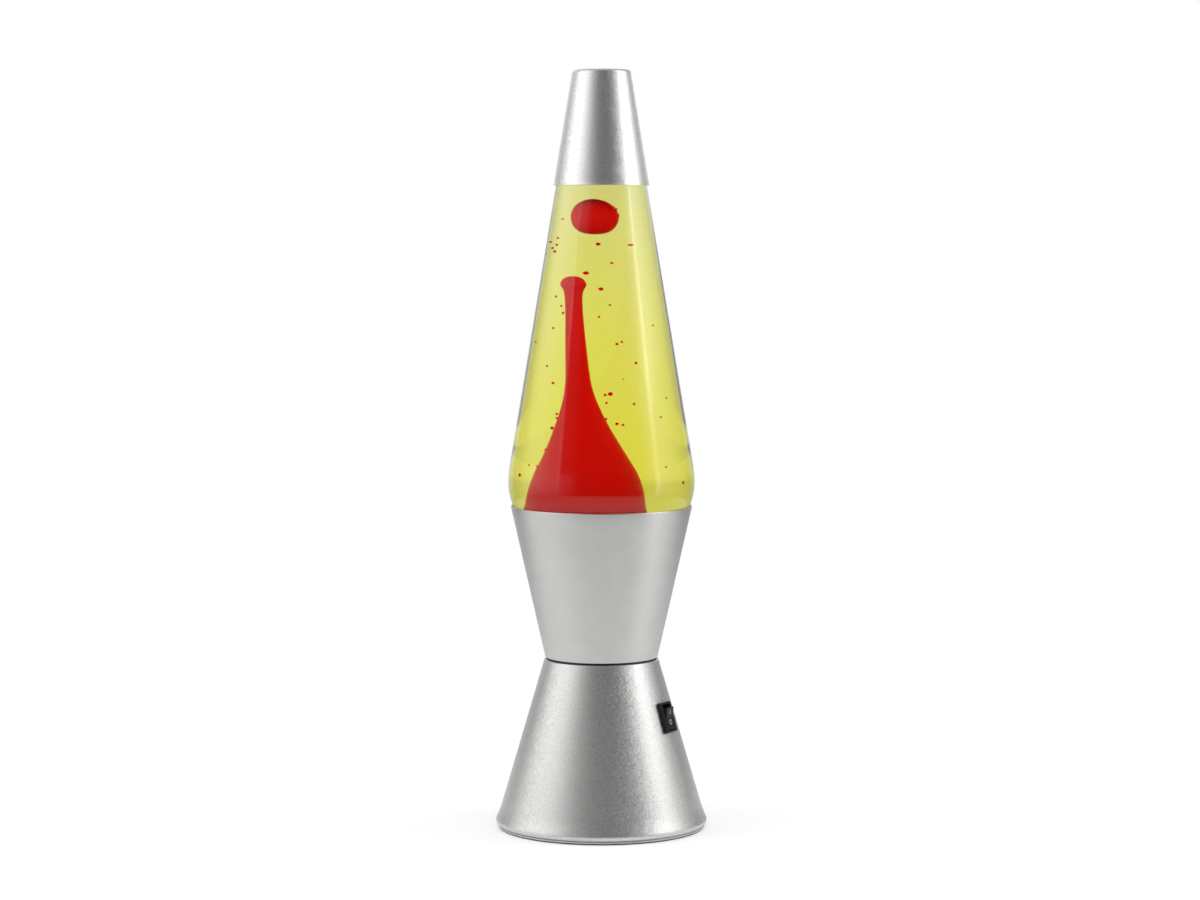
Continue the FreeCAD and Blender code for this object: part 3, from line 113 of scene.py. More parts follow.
def lathe(name, points, material, turns=192, sharp=35.0, place=None, shape=None):
    """Turns (r, z) points about the Z axis. shape may move each point by its angle."""
    verts, rows = [], []
    for r, z in points:
        if abs(r) < 1e-6:
            rows.append([len(verts)] * turns)
            verts.append(shape(0, 0, z) if shape else (0, 0, z))
            continue
        rows.append(list(range(len(verts), len(verts) + turns)))
        for k in range(turns):
            a = 2 * math.pi * k / turns
            spot = (r * math.cos(a), r * math.sin(a), z)
            verts.append(shape(a, r, z) if shape else spot)
    faces = []
    for low, high in zip(rows, rows[1:]):
        for k in range(turns):
            n = (k + 1) % turns
            face = [low[k], low[n], high[n], high[k]]
            face = [v for i, v in enumerate(face) if v not in face[:i]]
            if len(face) > 2:
                faces.append(face)
    return make(name, verts, faces, material, sharp, place)


def loft(name, rings, material, sharp=35.0, place=None):
    """Joins rings of the same count of points, and closes the ends."""
    count = len(rings[0])
    verts = [p for ring in rings for p in ring]
    faces = []
    for i in range(len(rings) - 1):
        for k in range(count):
            n = (k + 1) % count
            faces.append((i * count + k, i * count + n, (i + 1) * count + n, (i + 1) * count + k))
    faces.append(tuple(range(count)))
    faces.append(tuple(range((len(rings) - 1) * count, len(rings) * count)))
    return make(name, verts, faces, material, sharp, place)


def rounded_rectangle(length, width, radius, z):
    points, steps = [], 6
    for i, (sx, sy) in enumerate(((1, 1), (-1, 1), (-1, -1), (1, -1))):
        for k in range(steps + 1):
            a = math.pi / 2 * (i + k / steps)
            points.append((sx * (length / 2 - radius) + radius * math.cos(a),
                           sy * (width / 2 - radius) + radius * math.sin(a), z))
    return points


def apply(thing):
    """Makes what the modifiers or the curve give into a piece with a mesh of its own."""
    name = thing.name
    mesh = bpy.data.meshes.new_from_object(thing.evaluated_get(bpy.context.evaluated_depsgraph_get()))
    bpy.data.objects.remove(thing)
    made = bpy.data.objects.new(name, mesh)
    bpy.context.scene.collection.objects.link(made)
    return made


def wire(name, points, radius, material, closed=False):
    """A round wire along points in millimetres."""
    curve = bpy.data.curves.new(name, "CURVE")
    curve.dimensions = "3D"
    curve.bevel_depth = radius * MM
    curve.bevel_resolution = 2
    curve.use_fill_caps = True
    line = curve.splines.new("NURBS")
    line.points.add(len(points) - 1)
    for spot, p in zip(line.points, points):
        spot.co = (*(Vector(p) * MM), 1)
    line.order_u = 3
    line.use_endpoint_u = not closed
    line.use_cyclic_u = closed
    line.use_smooth = True
    curve.materials.append(material)
    thing = bpy.data.objects.new(name, curve)
    bpy.context.scene.collection.objects.link(thing)
    return apply(thing)


# Materials
class Finish:
    """A Principled material and short ways to add nodes to it."""

    def __init__(self, name, color, roughness, metallic=0.0, **sockets):
        self.material = bpy.data.materials.new(name)
        self.material.use_nodes = True
        self.tree = self.material.node_tree
        self.bsdf = self.tree.nodes["Principled BSDF"]
        self.set("Base Color", (*color, 1))
        self.set("Roughness", roughness)
        self.set("Metallic", metallic)
        for socket, value in sockets.items():
            self.set(socket.replace("_", " "), value)
        coordinates = self.tree.nodes.new("ShaderNodeTexCoord")
        self.place = coordinates.outputs["Object"]

    def set(self, socket, value):
        self.bsdf.inputs[socket].default_value = value

    def node(self, kind, inputs=None, **props):
        made = self.tree.nodes.new("ShaderNode" + kind)
        for prop, value in props.items():
            setattr(made, prop, value)
        for key, value in (inputs or {}).items():
            if isinstance(value, bpy.types.NodeSocket):
                self.tree.links.new(value, made.inputs[key])
            else:
                made.inputs[key].default_value = value
        return made

    def link(self, source, socket):
        self.tree.links.new(source, self.bsdf.inputs[socket])

    def grain(self, size, detail=3.0, rough=0.5, stretch=None):
        """Noise whose features are about size millimetres across."""
        vector = self.place
        if stretch:
            vector = self.node("Mapping", {"Vector": vector, "Scale": stretch}).outputs[0]
        return self.node("TexNoise", {"Vector": vector, "Scale": 1 / (size * MM), "Detail": detail,
                                      "Roughness": rough}).outputs["Fac"]

    def cells(self, size):
        """A colour of its own for each cell about size millimetres across."""
        made = self.node("TexVoronoi", {"Vector": self.place, "Scale": 1 / (size * MM)})
        return made.outputs["Color"]

    def ranged(self, source, low, high, start=0.3, end=0.7):
        return self.node("MapRange", {"Value": source, "From Min": start, "From Max": end,
                                      "To Min": low, "To Max": high}).outputs[0]

    def tint(self, source, first, second, start=0.3, end=0.7):
        ramp = self.node("ValToRGB", {"Fac": source})
        ramp.color_ramp.elements[0].position = start
        ramp.color_ramp.elements[0].color = (*first, 1)
        ramp.color_ramp.elements[1].position = end
        ramp.color_ramp.elements[1].color = (*second, 1)
        self.link(ramp.outputs[0], "Base Color")

    def rough(self, source, low, high, start=0.3, end=0.7):
        self.link(self.ranged(source, low, high, start, end), "Roughness")

    def bump(self, source, depth, strength=1.0, after=None):
        """Bump whose heights run over depth millimetres."""
        inputs = {"Height": source, "Distance": depth * MM, "Strength": strength}
        if after:
            inputs["Normal"] = after
        made = self.node("Bump", inputs).outputs[0]
        self.link(made, "Normal")
        return made


def shade(color, factor):
    return tuple(min(1.0, c * factor) for c in color)


def plain_finish(name, color, roughness, metallic=0.0, blotch=6.0, grain=0.5, depth=0.01, spread=0.12,
                 **sockets):
    """Colour that varies a little in blotches, with a fine grain in gloss and relief."""
    made = Finish(name, color, roughness, metallic, **sockets)
    made.tint(made.grain(blotch), shade(color, 1 - spread), shade(color, 1 + spread))
    fine = made.grain(grain, 4, 0.6)
    made.rough(fine, roughness * 0.82, min(1, roughness * 1.2))
    made.bump(fine, depth)
    return made.material


FLAKE, FLAKE_TILT, PEEL = 0.38, 0.13, 2.2


def silver_paint(name, bright):
    """Sprayed metallic paint: fine flakes, each tilted its own way under a smooth film."""
    made = Finish(name, (bright, bright, bright), 0.42, 0.91)
    flakes = made.cells(FLAKE)
    split = made.node("SeparateColor", {"Color": flakes})
    mottle = made.grain(1.3, 2, 0.6)
    mixed = made.node("Mix", {"Factor": 0.25, "A": split.outputs[0], "B": mottle}, data_type="FLOAT")
    made.tint(mixed.outputs[0], (bright * 0.81, bright * 0.81, bright * 0.795),
              (bright * 1.12, bright * 1.12, bright * 1.10), 0.1, 0.9)
    made.rough(split.outputs[1], 0.38, 0.48, 0.0, 1.0)
    peel = made.node("Bump", {"Height": made.grain(PEEL, 1, 0.4), "Distance": 0.008 * MM,
                              "Strength": 0.5})
    centred = made.node("VectorMath", {0: flakes, 1: (0.5, 0.5, 0.5)}, operation="SUBTRACT").outputs[0]
    tilted = made.node("VectorMath", {0: centred, 1: (FLAKE_TILT,) * 3, 2: peel.outputs[0]},
                       operation="MULTIPLY_ADD").outputs[0]
    made.link(made.node("VectorMath", {0: tilted}, operation="NORMALIZE").outputs[0], "Normal")
    return made.material


def spun_aluminium():
    """Satin aluminium with the faint rings that spinning leaves, and a fine cloud over them."""
    made = Finish("satin_spun_aluminium", (0.69, 0.69, 0.68), 0.42, 1.0, Anisotropic=0.45,
                  Anisotropic_Rotation=0.25)
    made.link(made.node("Tangent", direction_type="RADIAL", axis="Z").outputs[0], "Tangent")
    parts = made.node("SeparateXYZ", {"Vector": made.place})
    rings = made.node("TexNoise", {"W": parts.outputs["Z"], "Scale": 3200.0, "Detail": 4.0},
                      noise_dimensions="1D").outputs["Fac"]
    cloud = made.grain(9, 3, 0.55)
    mixed = made.node("Mix", {"Factor": 0.5, "A": rings, "B": cloud}, data_type="FLOAT")
    made.tint(mixed.outputs[0], (0.655, 0.655, 0.645), (0.725, 0.725, 0.715))
    made.rough(rings, 0.36, 0.47)
    fine = made.bump(rings, 0.006, 0.5)
    made.bump(made.grain(0.35, 2), 0.004, 0.5, fine)
    return made.material


def wax_finish():
    """Dyed wax that lets some light through, with painted shade: its colour is deeper low down, on the
    mound.
    """
    made = Finish("red_wax", (0.9, 0.0016, 0.0006), 0.3, Subsurface_Weight=0.3,
                  Subsurface_Radius=(1.0, 0.16, 0.1), Subsurface_Scale=0.003, Specular_IOR_Level=0.025)
    # Painted shade: below about 165 mm the wax turns deeper red, for the lower light on the mound, mixed
    # with random tone
    height = made.node("SeparateXYZ", {"Vector": made.place}).outputs["Z"]
    painted_light_with_height = made.ranged(height, 0.0, 1.0, 0.165, 0.235)
    mixed = made.node("Mix", {"Factor": 0.3, "A": painted_light_with_height, "B": made.grain(7, 3, 0.5)}, data_type="FLOAT")
    made.tint(mixed.outputs[0], (0.80, 0.0009, 0.0003), (0.95, 0.0024, 0.0008), 0.1, 0.9)
    made.rough(made.grain(2.5, 2), 0.24, 0.38)
    made.bump(made.grain(5, 2), 0.05, 0.35)
    return made.material


def glass_finish(name, color, ior, ripple):
    made = Finish(name, color, 0.0, Transmission_Weight=1.0, IOR=ior)
    made.rough(made.grain(14, 2), 0.0, 0.012)
    if ripple:
        made.bump(made.grain(16, 2, 0.5, (1, 1, 0.45)), ripple)
    return made.material


def liquid_finish():
    """Clear tinted water, coloured only by its depth. The glass that it wets bends the light."""
    made = Finish("yellow_liquid", (1.0, 1.0, 1.0), 0.0, Transmission_Weight=1.0, IOR=1.0)
    tinted = made.node("VolumeAbsorption", {"Color": (0.969, 0.95, 0.0156, 1), "Density": 32.0})
    output = made.tree.nodes["Material Output"]
    made.tree.links.new(tinted.outputs[0], output.inputs["Volume"])
    return made.material


paint = silver_paint("silver_flake_paint", 0.8)
# Painted light: the cap has the same paint as the base, in a lighter copy for the brighter light it
# catches
cap_paint_painted_light = silver_paint("silver_flake_cap_painted_light", 0.84)
aluminium = spun_aluminium()
wax = wax_finish()
GLASS_IOR, LIQUID_IOR = 1.47, 1.33
bottle_glass = glass_finish("bottle_glass", (0.92, 0.925, 0.915), GLASS_IOR, 0.02)
wet_glass = glass_finish("bottle_glass_wet", (0.93, 0.93, 0.92), GLASS_IOR / LIQUID_IOR, 0.02)
water_film = glass_finish("liquid_surface_film", (1.0, 1.0, 1.0), LIQUID_IOR, 0)
liquid_look = liquid_finish()
black_plastic = plain_finish("black_satin_plastic", (0.012, 0.012, 0.013), 0.45, grain=0.25, depth=0.012,
                             spread=0.2, Specular_IOR_Level=0.32)
rubber = plain_finish("dark_foot_rubber", (0.045, 0.055, 0.085), 0.7, grain=0.3, depth=0.03)
steel = plain_finish("zinc_plated_steel", (0.62, 0.63, 0.62), 0.34, 1.0, 4, 0.4, 0.006, 0.08)
nickel = plain_finish("nickel_plate", (0.72, 0.69, 0.64), 0.24, 1.0, 5, 0.5, 0.004, 0.06)
brass = plain_finish("brass_sheet", (0.74, 0.55, 0.24), 0.28, 1.0, 5, 0.5, 0.005, 0.08)
wound_steel = plain_finish("wound_steel_wire", (0.50, 0.47, 0.43), 0.38, 1.0, 3, 0.3, 0.005, 0.12)
nylon = plain_finish("white_nylon", (0.72, 0.71, 0.67), 0.45, grain=0.4, depth=0.01, spread=0.05,
                     Subsurface_Weight=0.15, Subsurface_Scale=0.001)
lead_black = plain_finish("black_lead_sleeve", (0.014, 0.014, 0.015), 0.42, grain=0.35, depth=0.01)
lead_white = plain_finish("white_lead_sleeve", (0.74, 0.74, 0.72), 0.42, grain=0.35, depth=0.01,
                          spread=0.04)
seal = plain_finish("grey_seal", (0.28, 0.28, 0.27), 0.6, grain=0.3, depth=0.02)
white_mark = plain_finish("white_print", (0.78, 0.78, 0.76), 0.5, grain=0.12, depth=0.006, spread=0.05)
bulb_clear = glass_finish("bulb_glass_clear", (0.97, 0.97, 0.96), 1.5, 0.008)
black_bead = plain_finish("black_glass_bead", (0.02, 0.017, 0.015), 0.12, grain=0.5, depth=0.004)
silver_mirror = plain_finish("bulb_silver_mirror", (0.85, 0.85, 0.84), 0.14, 1.0, 6, 0.5, 0.003, 0.03)
tungsten = plain_finish("tungsten_coil", (0.32, 0.31, 0.3), 0.4, 1.0, 1, 0.1, 0.002)
# Painted shade: the waist collar is made near black, so that the gap between the two cones always reads
# as a dark line
collar_painted_shade = plain_finish("collar_black_painted_shade", (0.03, 0.03, 0.032), 0.5, 0.4, 4, 0.4, 0.008, 0.15)
cover_paint = plain_finish("cover_silver", (0.66, 0.67, 0.68), 0.42, 1.0, 8, 0.6, 0.008, 0.06)
unpolished = plain_finish("unpolished_bowl_inside", (0.66, 0.66, 0.65), 0.5, 0.4, 9, 0.5, 0.006, 0.06)

LOOKS = {
    "base_shell": paint, "top_cap": cap_paint_painted_light, "bowl": aluminium, "waist_collar": collar_painted_shade,
    "bottom_cover": cover_paint, "foot_ring": rubber, "socket_bracket": steel, "cover_pillars": steel,
    "cover_screws": steel, "pillar_screws": steel, "block_screw": steel, "socket_body": nylon,
    "socket_shell": brass, "socket_contact": brass, "socket_nipple": steel, "nipple_nut": steel,
    "terminal_block": nylon, "terminal_inserts": brass, "terminal_screws": steel,
    "cord_bush": black_plastic, "switch_housing": black_plastic, "switch_centre_tab": brass,
    "switch_end_tab": brass,
    "switch_rocker": black_plastic, "switch_plunger": black_plastic, "switch_spring": steel,
    "contact_bridge": brass, "bulb_contact": nickel, "bulb_insulator": black_bead, "bulb_cap": nickel,
    "bulb_glass": bulb_clear, "bulb_stem": bulb_clear, "bulb_filament": tungsten,
    "glass_bottle": bottle_glass, "crown_liner": seal, "crown_cap": nickel, "wire_ring": wound_steel,
    "wax_column": wax, "wax_beads": wax, "wax_blob": wax, "liquid": liquid_look,
    "wire_line": lead_black, "wire_switched": lead_black, "wire_neutral": lead_white,
}
for label, look in LOOKS.items():
    mesh = nodes[label].data
    mesh.materials.clear()
    mesh.materials.append(look)


def seat(thing, body, *stands_for, slot):
    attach(thing, body)
    if stands_for:
        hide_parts(*stands_for)
    return thing


# The bottle's own outline, from which the glass, the liquid and the wax take their size. UPPER and LOWER
# give the belly's radius of bend and the cone's taper above and below it.
BELLY_Z, BELLY_R, WALL, BOTTLE_FLOOR, BOTTLE_FOOT = 168.6, 45.2, 2.5, 124.5, 121.0
INNER_HEEL = 3.5
UPPER, LOWER = (55.0, 0.167), (29.0, 0.32)


def tangent(inset, upper):
    """Where the belly's bend runs into the upper or the lower cone."""
    bend, taper = UPPER if upper else LOWER
    cosine = 1 / math.sqrt(1 + taper * taper)
    r = BELLY_R - bend + (bend - inset) * cosine
    rise = (bend - inset) * cosine * taper
    return r, BELLY_Z + (rise if upper else -rise)


def bottle_radius(z, inset=0.0):
    """Radius of the bottle's face at a height, at a distance inside the outer one."""
    upper_r, upper_z = tangent(inset, True)
    lower_r, lower_z = tangent(inset, False)
    if z >= upper_z:
        return upper_r - UPPER[1] * (z - upper_z)
    if z <= lower_z:
        return lower_r - LOWER[1] * (lower_z - z)
    bend = (UPPER if z > BELLY_Z else LOWER)[0]
    return BELLY_R - bend + math.sqrt((bend - inset) ** 2 - (z - BELLY_Z) ** 2)


def side(inset, floor, top, heel):
    """Half outline from the floor's middle to a height on the upper cone."""
    lower, upper = tangent(inset, False), tangent(inset, True)
    return [
        (0, floor), (bottle_radius(floor, inset), floor, heel),
        (*lower, 0, LOWER[0] - inset), (BELLY_R - inset, BELLY_Z, 0, UPPER[0] - inset), upper,
        (bottle_radius(top, inset), top),
    ]


def up_along(points, spacing=3.0):
    """Cuts long straight runs of an outline into shorter ones."""
    made = [points[0]]
    for p in points[1:]:
        a = made[-1]
        count = max(1, round(math.hypot(p[0] - a[0], p[1] - a[1]) / spacing))
        for k in range(1, count + 1):
            made.append((a[0] + (p[0] - a[0]) * k / count, a[1] + (p[1] - a[1]) * k / count))
    return made


SHOULDER, NECK_FOOT, NECK_TOP, NECK_R, LIP_R, NECK_BORE = 320.0, 328.0, 342.0, 11.6, 13.2, 9.0
outer = side(0, BOTTLE_FOOT, SHOULDER, 6.0)
outer[-1] = (*outer[-1], 4.0)
outer += [(NECK_R, NECK_FOOT, 4.0), (NECK_R, 337.0, 0.4), (LIP_R, 338.6, 0.9), (LIP_R, NECK_TOP, 0.9)]
inner = side(WALL, BOTTLE_FLOOR, SHOULDER, INNER_HEEL)
inner[-1] = (*inner[-1], 3.0)
inner += [(NECK_BORE, NECK_FOOT, 3.0), (NECK_BORE, NECK_TOP, 0.6)]
outer_points = outline(outer + [(NECK_BORE, NECK_TOP)])[:-1]
inner_points = outline(inner + [(NECK_R, NECK_TOP)])[:-1]
glass_points = up_along(outer_points + inner_points[::-1], 4.0)
bottle = lathe("bottle_glass_shell", glass_points, bottle_glass, 224)

# Liquid: it reaches a hair into the glass, so that no air shows between them
FILL, OVERLAP = 319.0, 0.05
liquid_inset = WALL - OVERLAP
liquid_side = side(liquid_inset, BOTTLE_FLOOR - OVERLAP, FILL, INNER_HEEL)
liquid_side[-1] = (bottle_radius(FILL, liquid_inset), FILL)
liquid = lathe("liquid_fill", up_along(outline(liquid_side + [(0, FILL - 0.6)]), 4.0), liquid_look, 224)
seat(liquid, "globe", "liquid", slot="liquid")

# Inside, where the liquid wets it, the glass bends light only by what glass and liquid differ
bottle.data.materials.append(wet_glass)
for face in bottle.data.polygons:
    r, z = math.hypot(face.center.x, face.center.y) / MM, face.center.z / MM
    if BOTTLE_FLOOR - 1 < z < FILL and r < bottle_radius(z, WALL / 2):
        face.material_index = 1
seat(bottle, "globe", "glass_bottle", slot="bottle_glass")

# The liquid's free surface, with the rise where it meets the glass
film_r = bottle_radius(FILL, WALL) - 0.02
film_points = outline([
    (0, FILL - 0.9), (film_r - 1.6, FILL - 0.9, 0.9), (film_r, FILL - 0.1), (film_r, FILL + 0.25),
    (film_r - 1.7, FILL - 0.55, 0.9), (0, FILL - 0.55)])
seat(lathe("liquid_free_surface", up_along(film_points, 1.5), water_film, 160, 60),
     "globe", slot="liquid")

# Wax mound and column: height, left of the axis, away from the viewer, and half width
COLUMN = [
    (124.7, 0.0, 0.0, 46.0), (132.0, 3.0, 3.0, 33.0), (142.0, 4.6, 5.0, 27.0), (152.5, 5.5, 6.0, 22.6),
    (160.3, 5.6, 6.0, 21.1), (165.2, 5.4, 6.0, 20.1), (170.7, 5.4, 6.0, 18.4), (177.8, 5.7, 6.0, 15.5),
    (185.7, 6.2, 6.0, 12.5), (193.5, 6.8, 6.0, 9.8), (201.3, 7.3, 6.0, 7.35), (209.1, 7.8, 6.0, 5.45),
    (216.9, 8.2, 6.0, 4.4), (226.5, 8.6, 6.0, 3.9), (236.3, 9.0, 6.0, 3.5), (246.0, 9.3, 6.0, 3.15),
    (253.0, 9.5, 6.0, 3.05), (257.8, 9.6, 6.0, 3.15), (260.6, 9.55, 6.0, 3.6), (262.9, 9.6, 6.0, 4.5),
    (264.8, 9.7, 6.0, 4.1), (266.1, 9.7, 6.0, 3.2), (267.0, 9.7, 6.0, 1.8), (267.3, 9.7, 6.0, 0.0),
]
WAX_GAP = 0.15


def spline(table, t):
    """A smooth curve through the rows of a table, at a place between 0 and its last row."""
    i = min(int(t), len(table) - 2)
    f = t - i
    a, b = table[max(i - 1, 0)], table[i]
    c, d = table[i + 1], table[min(i + 2, len(table) - 1)]
    return tuple(
        0.5 * (2 * q + (r - p) * f + (2 * p - 5 * q + 4 * r - s) * f * f
               + (3 * q - p - 3 * r + s) * f ** 3)
        for p, q, r, s in zip(a, b, c, d))


def wax_column():
    turns, steps, rows = 112, 8, []
    for k in range(steps * (len(COLUMN) - 1)):
        z, left, away, half = spline(COLUMN, k / steps)
        ring = []
        for t in range(turns):
            a = 2 * math.pi * t / turns
            spread = half * (1 + 0.02 * noise.noise((math.cos(a) * 0.8, math.sin(a) * 0.8, z * 0.045)))
            spot = AWAY * (away + spread * math.sin(a)) - RIGHT * (left + spread * math.cos(a))
            limit = bottle_radius(z, WALL) - WAX_GAP
            heel = BOTTLE_FLOOR + INNER_HEEL - z
            if heel > 0:
                limit -= INNER_HEEL - math.sqrt(max(0.0, INNER_HEEL ** 2 - heel ** 2))
            if spot.length > limit:
                spot = spot.normalized() * limit
            ring.append((spot.x, spot.y, z))
        rows.append(ring)
    z, left, away, _ = COLUMN[-1]
    tip = AWAY * away - RIGHT * left
    verts = [p for ring in rows for p in ring] + [(tip.x, tip.y, z), (0, 0, COLUMN[0][0])]
    top, foot = len(verts) - 2, len(verts) - 1
    faces = []
    for i in range(len(rows) - 1):
        for t in range(turns):
            n = (t + 1) % turns
            faces.append((i * turns + t, i * turns + n, (i + 1) * turns + n, (i + 1) * turns + t))
    last = (len(rows) - 1) * turns
    for t in range(turns):
        n = (t + 1) % turns
        faces.append((last + t, last + n, top))
        faces.append((t, n, foot))
    return make("wax_mound_and_column", verts, faces, wax, 60)


seat(wax_column(), "globe", "wax_column", slot="wax")

BLOB = Vector((0, 0, 296.7)) - RIGHT * 2.8 - AWAY * 8.0
BLOB_R, BLOB_RISE, BLOB_ROWS = 9.9, 8.5, 48


def blob_spot(a, r, z):
    """One point of the drifting blob: flatter below, and fuller at the top and the viewer's right."""
    across = r * math.cos(a)
    lift = 0.05 * across if z > 0 else 0.015 * across
    swell = 1 + 0.018 * noise.noise((math.cos(a) * 1.3, math.sin(a) * 1.3, z * 0.16 + 4))
    spot = RIGHT * (across * swell * 0.985) + AWAY * (r * math.sin(a) * swell * 0.97)
    return (BLOB.x + spot.x, BLOB.y + spot.y, BLOB.z + z - lift)


blob_points = []
for k in range(BLOB_ROWS + 1):
    a = math.pi * (k / BLOB_ROWS - 0.5)
    rise = abs(math.sin(a))
    wide = (1 - rise ** 2.2) ** 0.4 if a < 0 else math.cos(a)
    r = BLOB_R * wide if 0 < k < BLOB_ROWS else 0.0
    blob_points.append((r, BLOB_RISE * math.copysign(rise, a)))
seat(lathe("wax_drifting_blob", blob_points, wax, 96, 60, shape=blob_spot),
     "blob", "wax_blob", slot="wax")

# Small beads of wax: right of the axis, away from the viewer, height, radius
BEADS = [
    (-15.9, -6.0, 295.7, 0.4), (-1.3, -5.0, 283.4, 0.62), (10.3, 4.0, 282.5, 0.45),
    (3.6, 5.0, 273.7, 0.4), (-5.9, -4.0, 269.4, 0.7), (-0.2, -8.0, 261.9, 0.7),
    (-16.5, 2.0, 257.7, 0.45), (-16.3, -9.0, 253.9, 0.46), (-15.5, -9.0, 250.5, 0.56),
    (2.9, 6.0, 253.3, 0.4), (-0.9, 2.0, 247.8, 0.42), (-17.0, 5.0, 242.1, 0.42),
    (-25.8, 0.0, 235.9, 0.42), (5.6, 1.0, 234.7, 0.5), (7.2, 4.0, 235.5, 0.42),
    (12.7, 0.0, 225.6, 0.55), (-19.5, 4.0, 223.7, 0.42), (-16.6, 8.0, 215.1, 0.5),
    (3.4, -5.0, 211.0, 0.78), (1.4, -8.0, 210.8, 0.5), (1.9, -6.0, 206.8, 0.46),
    (11.4, 6.0, 205.2, 0.46), (-18.1, -12.0, 202.0, 0.52), (-18.2, -13.0, 200.1, 0.5),
    (-20.4, -14.0, 195.4, 0.72), (1.8, -14.0, 199.7, 0.55), (5.5, 4.0, 195.7, 0.58),
    (7.5, 7.0, 194.9, 0.46), (-24.2, -20.0, 185.5, 0.5), (-26.6, -12.0, 176.9, 0.38),
    (-27.9, -2.0, 176.2, 0.4), (-31.5, 0.0, 171.7, 0.6), (25.3, -3.0, 208.9, 0.4),
    (21.4, 4.0, 198.9, 0.4), (23.7, 2.0, 174.8, 0.4), (31.4, 0.0, 168.6, 0.5),
    (-17.2, -3.0, 286.4, 0.42), (-18.2, -5.0, 283.2, 0.48), (-18.5, 1.0, 281.3, 0.42),
    (-16.6, 4.0, 279.4, 0.46), (-17.6, 6.0, 283.9, 0.42), (-9.0, 13.0, 246.0, 0.3),
    (17.0, 10.0, 243.0, 0.32), (-11.0, 15.0, 231.0, 0.34), (9.0, -16.0, 219.0, 0.3),
]


def wax_drops(name, places, seed):
    """Rounded drops, each a little flattened and uneven, as one piece."""
    chance = random.Random(seed)
    joined = bmesh.new()
    for spot, radius, long in places:
        drop = bmesh.new()
        bmesh.ops.create_icosphere(drop, subdivisions=3, radius=1.0)
        phase = chance.uniform(0, 40)
        squeeze = Vector((
            long * chance.uniform(0.95, 1.15), chance.uniform(0.9, 1.1), chance.uniform(0.92, 1.08)))
        spin = Matrix.Rotation(BEARING, 3, "Z")
        for v in drop.verts:
            lump = 1 + 0.10 * noise.noise(v.co * 1.2 + Vector((phase, 0, 0)))
            v.co = (spot + spin @ (Vector(a * b for a, b in zip(v.co, squeeze)) * radius * lump)) * MM
        made = bpy.data.meshes.new("drop")
        drop.to_mesh(made)
        drop.free()
        joined.from_mesh(made)
        bpy.data.meshes.remove(made)
    mesh = bpy.data.meshes.new(name)
    joined.to_mesh(mesh)
    joined.free()
    for polygon in mesh.polygons:
        polygon.use_smooth = True
    mesh.materials.append(wax)
    thing = bpy.data.objects.new(name, mesh)
    bpy.context.scene.collection.objects.link(thing)
    return thing


# One bead is drawn out sideways, and those high up are flatter than those low down
LONG_BEAD, HIGH_BEAD, BEAD_SIZE = 2, 258, 1.22
drops = []
for i, (across, away, z, radius) in enumerate(BEADS):
    stretch = 2.1 if i == LONG_BEAD else 1.25 if z > HIGH_BEAD else 0.88
    drops.append((RIGHT * across + AWAY * away + Vector((0, 0, z)), radius * BEAD_SIZE, stretch))
seat(wax_drops("wax_drifting_beads", drops, 7), "globe", "wax_beads", slot="wax")

# Flecks that stand on the blob's right side: right, away, up, radius
FLECKS = [(8.9, -2.6, 3.6, 0.75), (9.6, -1.2, 0.6, 0.85), (9.0, -2.8, -2.6, 0.6), (8.2, -3.6, 5.0, 0.4)]
flecks = [(BLOB + RIGHT * a + AWAY * b + Vector((0, 0, c)), r, 0.6) for a, b, c, r in FLECKS]
seat(wax_drops("wax_blob_flecks", flecks, 11), "blob", slot="wax")


# Wound wire ring on the bottle's floor
RING_R, RING_HALF, RING_WIRE, RING_GAP = 20, 3, 0.36, 0.3


def wound_ring():
    turns, steps, coil = 58, 12, 2.62
    points = []
    for k in range(turns * steps):
        a = 2 * math.pi * k / (turns * steps)
        b = 2 * math.pi * k / steps
        r = RING_R + coil * math.cos(b)
        z = BOTTLE_FLOOR + RING_GAP + RING_HALF + coil * math.sin(b)
        points.append((r * math.cos(a), r * math.sin(a), z))
    return wire("wire_ring_winding", points, RING_WIRE, wound_steel, closed=True)


seat(wound_ring(), "globe", "wire_ring", slot="steel")


# Top cap: a spun cone with a rolled lip and a softly rounded crown
LIP_Z, CAP_TOP, CAP_R, CAP_WALL, CAP_GAP = 312.5, 368.0, 14.04, 0.8, 0.35
cap_lip = bottle_radius(LIP_Z) + CAP_GAP + CAP_WALL
cap_slope = (cap_lip - CAP_R) / (CAP_TOP - LIP_Z)
cap_points = outline([
    (0, CAP_TOP - 0.05), (CAP_R, CAP_TOP, 1.8), (cap_lip - cap_slope * 1.2, LIP_Z + 1.2, 2.0),
    (cap_lip + 0.2, LIP_Z, 0.22), (cap_lip - CAP_WALL, LIP_Z, 0.2),
    (CAP_R + cap_slope * CAP_WALL - CAP_WALL, CAP_TOP - CAP_WALL, 1.7), (0, CAP_TOP - CAP_WALL)])
seat(lathe("top_cap_spun_cone", up_along(cap_points, 4.0), cap_paint_painted_light, 224, 50),
     "cap", "top_cap", slot="silver_paint")

# Bowl: a satin cone with a rolled rim and a turned-in foot
RIM_Z, BOWL_Z, BOWL_R, BOWL_WALL, BOWL_GAP = 157.4, 83.6, 27.35, 0.72, 0.34
rim_in = bottle_radius(RIM_Z) + BOWL_GAP
rim_out = rim_in + BOWL_WALL
bowl_points = outline([
    (BOWL_R - BOWL_WALL, BOWL_Z, 0.18), (BOWL_R, BOWL_Z, 0.42), (rim_out, RIM_Z, 0.34),
    (rim_in, RIM_Z, 0.34)], closed=True)
bowl = lathe("bowl_spun_cone", up_along(bowl_points, 4.0), aluminium, 256, 50)

